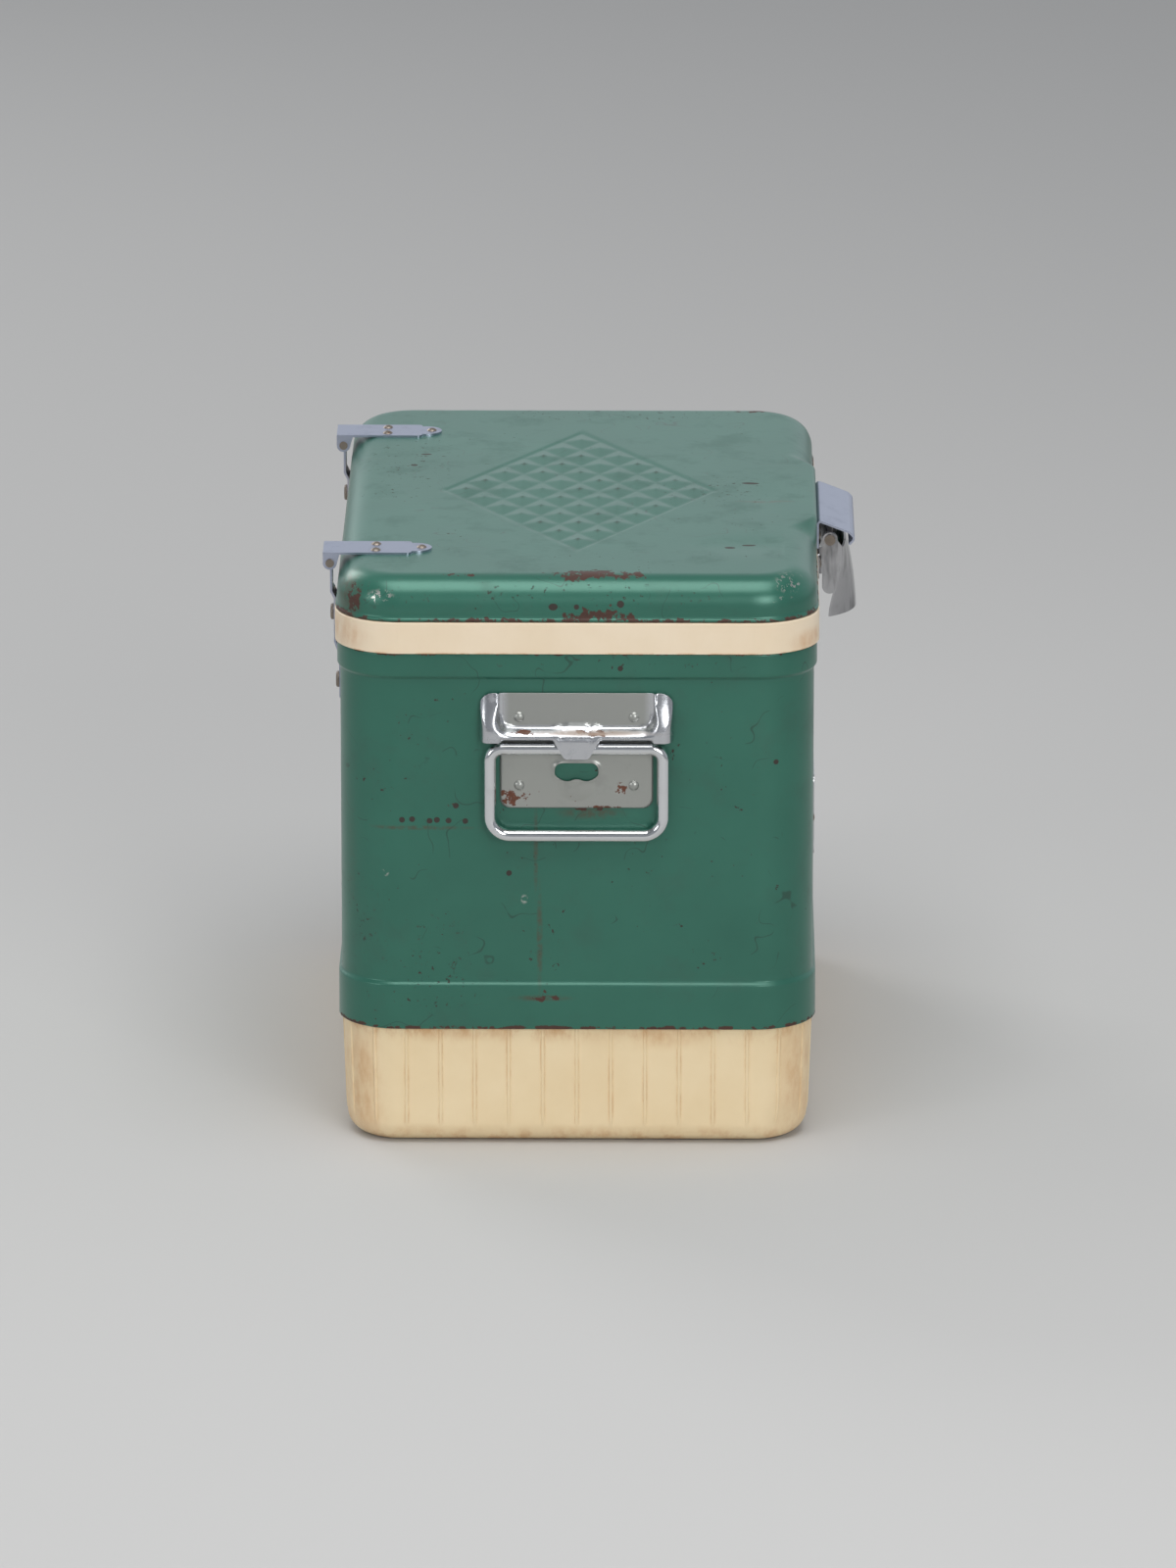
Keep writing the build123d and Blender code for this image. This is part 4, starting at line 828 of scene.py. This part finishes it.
def tub_profile():
    """Profile of the tub, down its outer wall and foot and up its inner wall, and two of its row counts.

    The counts are of the outer wall's rows and of all outer rows. Each outer wall row has an inner one.
    """
    lean = math.tan(TAPER)
    top = JACKET_LOW.z
    wall_foot = -TUB_INSET - (top - FOOT) * lean
    shade_end = (-TUB_INSET - TUB_SHADE * lean, top - TUB_SHADE)
    outer = np.concatenate([
        np.linspace((-TUB_INSET, TUB_TOP), (-TUB_INSET, top + 1 * MM), 3),
        np.linspace((-TUB_INSET, top), shade_end, 5),
        np.linspace(shade_end, (wall_foot, FOOT), 15)[1:],
        arc_run((wall_foot - FOOT, FOOT), FOOT, 0, -90, 12)[1:],
        np.linspace((wall_foot - FOOT, 0), (FLOOR_EDGE, 0), 3)[1:]])
    wall_rows = np.count_nonzero(outer[:, 1] > FOOT - 0.01 * MM)
    inner = np.concatenate([
        np.linspace((FLOOR_EDGE, PLASTIC), (wall_foot - FOOT, PLASTIC), 2),
        arc_run((wall_foot - FOOT, FOOT), FOOT - PLASTIC, -90, 0, 6)[1:],
        outer[:wall_rows - 1][::-1] - (PLASTIC, 0)])
    return np.concatenate([outer, inner]), wall_rows, len(outer)


def drain_boss(points, profile, wall_rows):
    """Round boss with a bore, let into a square block of the tub's wall at the middle of the far end.

    Gives the boss's points, its faces, and a mask of the grid's faces that it takes the place of. Each
    ring has one point toward each point on the block's rim, so that rings and rim join by quads.
    """
    rings, around = points.shape[:2]
    rows = np.flatnonzero(np.abs(profile[:wall_rows, 1] - DRAIN_PLACE[1]) < DRAIN_BLOCK)
    level = points[rows[0]]
    columns = np.flatnonzero((np.abs(level[:, 0]) < DRAIN_BLOCK) & (level[:, 1] > 0))
    first_row, last_row = rows[[0, -1]]
    first_column, last_column = columns[[0, -1]]
    down = np.ones(len(rows) - 1, dtype=int)
    along = np.ones(len(columns) - 1, dtype=int)
    rim_rows = np.concatenate([along * first_row, rows[:-1], along * last_row, rows[:0:-1]])
    rim_columns = np.concatenate([columns[:-1], down * last_column, columns[:0:-1], down * first_column])
    aim = points[rim_rows, rim_columns][:, [0, 2]] - DRAIN_PLACE
    aim /= np.hypot(aim[:, 0], aim[:, 1])[:, None]
    boss = []
    for radius, share in DRAIN_RINGS:
        place = DRAIN_PLACE + aim * radius * MM
        wall = WALL_Y + np.interp(place[:, 1], profile[:wall_rows, 1][::-1], profile[:wall_rows, 0][::-1])
        out = wall + max(share, 0) * (DRAIN_SEAT - wall) + min(share, 0) * PLASTIC
        boss.append(np.stack([place[:, 0], out, place[:, 1]], -1))
    boss = np.concatenate(boss)
    new = rings * around + np.arange(len(boss)).reshape(-1, len(aim))
    outer_rim = rim_rows * around + rim_columns
    inner_rim = (rings - 1 - rim_rows) * around + rim_columns
    faces = ring_faces(np.concatenate([outer_rim[None], new, inner_rim[None]]))
    row = np.arange((rings - 1) * around) // around
    column = np.arange((rings - 1) * around) % around
    in_rows = (row >= first_row) & (row < last_row)
    in_rows |= (row >= rings - 1 - last_row) & (row < rings - 1 - first_row)
    return boss, faces, in_rows & (column >= first_column) & (column < last_column)


def tub():
    """The fluted tub: its profile carried round, with a half-round bead per flute and a drain boss.

    Offset = profile offset + proud * sqrt(1 - (distance from the flute / half width)^2), faded at its ends.
    """
    profile, wall_rows, outer_rows = tub_profile()
    distance, beside = flute_marks()
    spine, outward = walk(WALL_X, WALL_Y, CORNER, distance)
    height = np.repeat(profile[:, 1:], len(spine), axis=1)
    top = JACKET_LOW.z
    length = ease(height, 14.5 * MM, 17 * MM) * (1 - ease(height, top - 2 * MM, top + 1 * MM))
    length[outer_rows:] = 0
    crown = np.sqrt(np.clip(1 - (beside / FLUTE_HALF) ** 2, 0, 1))
    from_groove = np.abs(beside) / FLUTE_HALF - GROOVE_PLACE
    groove = FLUTE_GROOVE * np.exp(-(from_groove / 0.3) ** 2)
    # A mark that darkens the grooves beside each flute brown, fading where the flutes end
    groove_brown = np.exp(-(from_groove / 0.45) ** 2)[None] * length
    points = swept(spine, outward, CORNER, profile, (FLUTE_PROUD * crown - groove)[None] * length)
    near = points[..., 1] < -0.15
    knock = knocked(points[..., 0], points[..., 2], FOOT_KNOCKS) * near
    points[..., :2] -= outward[None] * knock[..., None]

    rings, around = points.shape[:2]
    boss, boss_faces, in_block = drain_boss(points, profile, wall_rows)
    row = np.arange((rings - 1) * around) // around
    keep = (row != outer_rows - 1) & ~in_block
    sides = grid_faces(rings, around, False, True)[keep][:, ::-1]
    poles = np.array([[0, 0, 0], [0, 0, PLASTIC]])
    pole = rings * around + len(boss)
    ring = np.arange(around)
    following = (ring + 1) % around
    below = (outer_rows - 1) * around
    above = outer_rows * around
    last = (rings - 1) * around
    floor = np.stack([below + ring, np.full(around, pole), below + following], -1)
    inside = np.stack([above + following, np.full(around, pole + 1), above + ring], -1)
    lip = np.stack([ring, following, last + following, last + ring], -1)
    faces = sides.tolist() + boss_faces.tolist() + floor.tolist() + inside.tolist() + lip.tolist()
    groove_brown = np.concatenate([groove_brown.reshape(-1), np.zeros(len(boss) + len(poles))])
    skin = cream_plastic("tub_cream_plastic", CREAM_TUB, TUB_STAINS, tub_edge, 0.02, "flute_side")
    shell = new_piece("tub_shell", "chest", np.concatenate([points.reshape(-1, 3), boss, poles]), faces,
                      skin, "cream_tub", flute_side=groove_brown)
    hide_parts("base_tub")


# Handles
def half_round(share):
    """Rise of a half-round from 0 at its foot to 1 at its crest, where share goes from 0 to a half."""
    return np.sqrt(np.clip(1 - (1 - 2 * np.clip(share, 0, 0.5)) ** 2, 0, 1))


def facing(side, across, out, up):
    """Points on the near or far end from distances across, out from the end and up."""
    sign = -1 if side == "near" else 1
    return np.stack([-sign * across, sign * out, up], -1)


def handle_housing(side, material):
    """Upper stamping: a flat panel inside a half-round ridge that runs down both columns and across.

    Its height over the panel is the least of four rises: from the panel's rounded rim, from the outer
    edges, from the bottom edge, which columns and the middle lip carry on past, and down from the top
    along the columns.
    """
    low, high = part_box("handle_housing_" + side)
    half = high.x
    full = high.z - HOUSING_FOOT
    inner = half - COLUMN
    bulge = np.cos(np.linspace(math.pi, 0, 15)) / 2 + 0.5
    panel = np.linspace(-inner, inner, 56)[1:-1]
    across = np.concatenate([-half + COLUMN * bulge, panel, inner + COLUMN * bulge])
    rise = np.concatenate([
        bulge * RIDGE,
        RIDGE + np.linspace(0, 1, 10)[1:] * (full - COLUMN / 2 - RIDGE),
        full - COLUMN / 2 * (1 - np.sin(np.linspace(0, math.pi / 2, 9)[1:]))])
    u, v = np.meshgrid(across, rise)
    aside = np.abs(u)
    lip = 1 - ease(aside, LIP_FULL, LIP_END)
    column = ease(aside, inner - 1 * MM, inner + 2 * MM)
    carried = np.maximum(column, lip)
    past = np.clip(aside - (half - HOUSING_CORNER), 0, HOUSING_CORNER)
    drop = HOUSING_CORNER - np.sqrt(HOUSING_CORNER ** 2 - past ** 2)
    drop = np.minimum(drop, HOUSING_CORNER * 0.92)
    up = HOUSING_FOOT - lip * (HOUSING_FOOT - low.z) * (1 - v / full) + v * (1 - drop / full)
    side_run = np.clip(aside - (inner - PANEL_CORNER), 0, None)
    down_run = np.clip(HOUSING_FOOT + RIDGE + PANEL_CORNER - up, 0, None)
    from_panel = np.hypot(side_run, down_run) - PANEL_CORNER
    from_top = np.clip((high.z - drop - up) / (0.85 * full), 0, 1)
    rises = [half_round(from_panel / COLUMN),
             half_round((half - aside) / COLUMN),
             np.maximum(half_round((v + 100 * carried) / RIDGE), carried),
             np.maximum(1 - column, np.sin(math.pi / 2 * from_top) * 0.96 + 0.04)]
    out = PANEL_FACE + (RIDGE_FACE - PANEL_FACE) * np.minimum.reduce(rises)
    piece = new_piece("housing_" + side, "chest", facing(side, u, out, up),
                      grid_faces(*u.shape, False, False).tolist(), material, "handle_chrome")
    as_sheet(piece, HANDLE_SHEET)
    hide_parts("handle_housing_" + side)


def handle_plate(side, material):
    """Lower plate: rings carried from the opener slot's wavy edge out to the plate's outline.

    The rim of the slot stands up, most at its upper corners, and a round dimple swells under it.
    """
    low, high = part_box("handle_plate_" + side)
    middle = (low.z + high.z) / 2
    half_z = (high.z - low.z) / 2
    outer_spine, outer_way = walk(high.x, half_z, PLATE_CORNER,
                                  even_marks(high.x, half_z, PLATE_CORNER, 24, 40, 8))
    slot_spine, slot_way = walk(SLOT_X, SLOT_Z, SLOT_CORNER,
                                even_marks(SLOT_X, SLOT_Z, SLOT_CORNER, 24, 40, 8))
    outer = outer_spine + outer_way * PLATE_CORNER
    slot = slot_spine + slot_way * SLOT_CORNER
    on_bottom = slot_way[:, 1] < -0.5
    wave = SLOT_WAVE * np.cos(slot[:, 0] / SLOT_X * 2.2 * math.pi) * on_bottom
    slot[:, 1] += wave + SLOT_HEIGHT - middle
    share = np.linspace(0, 1, 30)[:, None, None] ** 1.6
    flat = slot[None] * (1 - share) + outer[None] * share
    u = flat[..., 0]
    up = flat[..., 1] + middle
    past_x = np.clip(np.abs(u) - SLOT_X + SLOT_CORNER, 0, None)
    past_z = np.clip(np.abs(up - SLOT_HEIGHT) - SLOT_Z + SLOT_CORNER, 0, None)
    from_slot = np.hypot(past_x, past_z) - SLOT_CORNER
    corners = hump(np.abs(u), up, (SLOT_X - 1 * MM, SLOT_HEIGHT + 4 * MM), (4 * MM, 4 * MM))
    rim = (0.5 + 0.9 * corners) * MM * np.exp(-(from_slot / RIM_REACH) ** 2)
    from_dimple = np.hypot(u, (up - DIMPLE_HEIGHT) * 1.15) / DIMPLE
    dimple = DIMPLE_PROUD * np.clip(1 - from_dimple ** 2, 0, 1) ** 0.8
    out = PLATE_FACE + np.clip(rim + dimple, 0, PLATE_PROUD)
    piece = new_piece("plate_" + side, "chest", facing(side, u, out, up),
                      grid_faces(*u.shape, False, True)[:, ::-1].tolist(), material, "grey_plate")
    as_sheet(piece, HANDLE_SHEET)
    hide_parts("handle_plate_" + side)


def dress_packed_nodes():
    """The handles' own surfaces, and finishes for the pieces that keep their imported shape."""
    chrome = plated("handle_chrome", colour(222, 224, 226), 0.10, (1, 1, 1), 0.012)
    stamping = plated("housing_chrome", colour(200, 202, 206), 0.20, (1, 1, 1), 0.02,
                      satin=panel_area, tarnish=RIDGE_TARNISH)
    zinc = plated("handle_grey_plate", colour(166, 168, 163), 0.34, (0.2, 1, 1), 0.035, 0.75)
    # The latch's chrome carries dark upright streaks, a painted reflection
    latch = plated("latch_chrome", colour(176, 176, 178), 0.14, (1, 1, 0.1), 0.02, dark_reflection=0.7)
    nickel = plated("strap_nickel", colour(178, 184, 202), 0.30, (0.1, 1, 1), 0.02)
    dull = plated("fastener_steel", colour(140, 130, 120), 0.38, (1, 1, 1), 0.09, 0.85)
    badge = plated("bare_name_plate", colour(196, 198, 200), 0.28, (1, 0.05, 1), 0.03)
    band = cream_plastic("band_cream_plastic", CREAM, BAND_STAINS, band_edge, 0.0)
    liner = moulded("liner_plastic", colour(226, 226, 220), colour(196, 188, 168), 0.4, 0.002, 0.0001)
    foam = moulded("wall_foam", colour(214, 190, 130), colour(190, 160, 100), 0.9, 0.0015, 0.0006)
    rubber = moulded("seal_rubber", colour(52, 52, 50), colour(74, 70, 64), 0.6, 0.001, 0.0001)
    drain = moulded("drain_plastic", colour(222, 214, 196), colour(180, 160, 128), 0.4, 0.001, 0.0001)
    finishes = (
        (band, "rim_band"), (liner, "inner_liner lid_pan"), (foam, "body_foam lid_foam"),
        (rubber, "lid_gasket drain_washer drain_plug"), (drain, "drain_tube drain_nut"),
        (latch, "latch_lever latch_bracket latch_hasp"), (badge, "name_plate"),
        (chrome, "handle_bail_near handle_bail_far"), (zinc, "handle_rivets_near handle_rivets_far"),
        (nickel, "latch_keeper hinge_strap_near hinge_strap_far hinge_leaf_near hinge_leaf_far"),
        (dull, "hinge_strap_rivets hinge_leaf_screws hinge_pin_near hinge_pin_far latch_pin "
               "latch_keeper_rivets latch_bracket_rivets name_plate_rivets"),
    )
    for side in ("near", "far"):
        handle_housing(side, stamping)
        handle_plate(side, zinc)
    for material, nodes in finishes:
        for node in nodes.split():
            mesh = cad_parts[node].data
            mesh.materials.clear()
            mesh.materials.append(material)


# Studio
def floor():
    """A wide plain floor."""
    reach = 14
    corners = [(-reach, -reach, 0), (reach, -reach, 0), (reach, reach, 0), (-reach, reach, 0)]
    mesh = bpy.data.meshes.new("floor")
    mesh.from_pydata(corners, [], [(0, 1, 2, 3)])
    mesh.materials.append(Finish("floor_paint").finish(FLOOR_GREY, 0.9))
    plane = in_scene("floor", mesh)


def lamp(name, place, size, power):
    """A square soft lamp that faces the middle of the object."""
    light = bpy.data.lights.new(name, "AREA")
    light.shape = "SQUARE"
    light.size = size
    light.energy = power
    holder = in_scene(name, light)
    holder.location = place
    aim = Vector((0, 0, 0.2)) - Vector(place)
    holder.rotation_euler = aim.to_track_quat("-Z", "Y").to_euler()


def studio():
    """Soft lamps over and before the object, and a world that is pale near the horizon and behind."""
    lamp("overhead", (0.1, -0.9, 3.2), 2.3, 62)
    lamp("front_right", (1.5, -3.8, 1.7), 1.7, 52)
    lamp("front_left", (-2.8, -2.6, 1.4), 1.2, 18)
    lamp("back_left", (-2.2, 2.8, 2.2), 1.6, 30)
    world = bpy.data.worlds.new("studio")
    world.use_nodes = True
    tree = world.node_tree
    parts = tree.nodes.new("ShaderNodeSeparateXYZ")
    tree.links.new(tree.nodes.new("ShaderNodeTexCoord").outputs["Generated"], parts.inputs[0])
    power = tree.nodes.new("ShaderNodeMath")
    power.operation = "MULTIPLY"
    tree.links.new(ramp(tree, parts.outputs["Z"], 0.30, 0.85, 0.85, 0.40), power.inputs[0])
    tree.links.new(ramp(tree, parts.outputs["Y"], -0.7, 0.7, 0.38, 0.85), power.inputs[1])
    sky = tree.nodes["Background"]
    fill(sky, Color=(0.90, 0.94, 1.0, 1))
    tree.links.new(power.outputs[0], sky.inputs["Strength"])
    bpy.context.scene.world = world


def camera():
    """A camera at the photograph's viewing angle."""
    lens = bpy.data.cameras.new("view")
    lens.sensor_fit = "VERTICAL"
    lens.sensor_height = CAMERA_SENSOR
    lens.sensor_width = CAMERA_SENSOR
    lens.lens = CAMERA_LENS
    lens.clip_end = 60
    holder = in_scene("view", lens)
    holder.location = CAMERA_PLACE
    holder.rotation_euler = (math.pi / 2 - CAMERA_TILT, 0, CAMERA_TURN)
    bpy.context.scene.camera = holder


lid()
jacket()
tub()
dress_packed_nodes()
floor()
studio()
camera()
bpy.context.scene.view_settings.view_transform = "Standard"
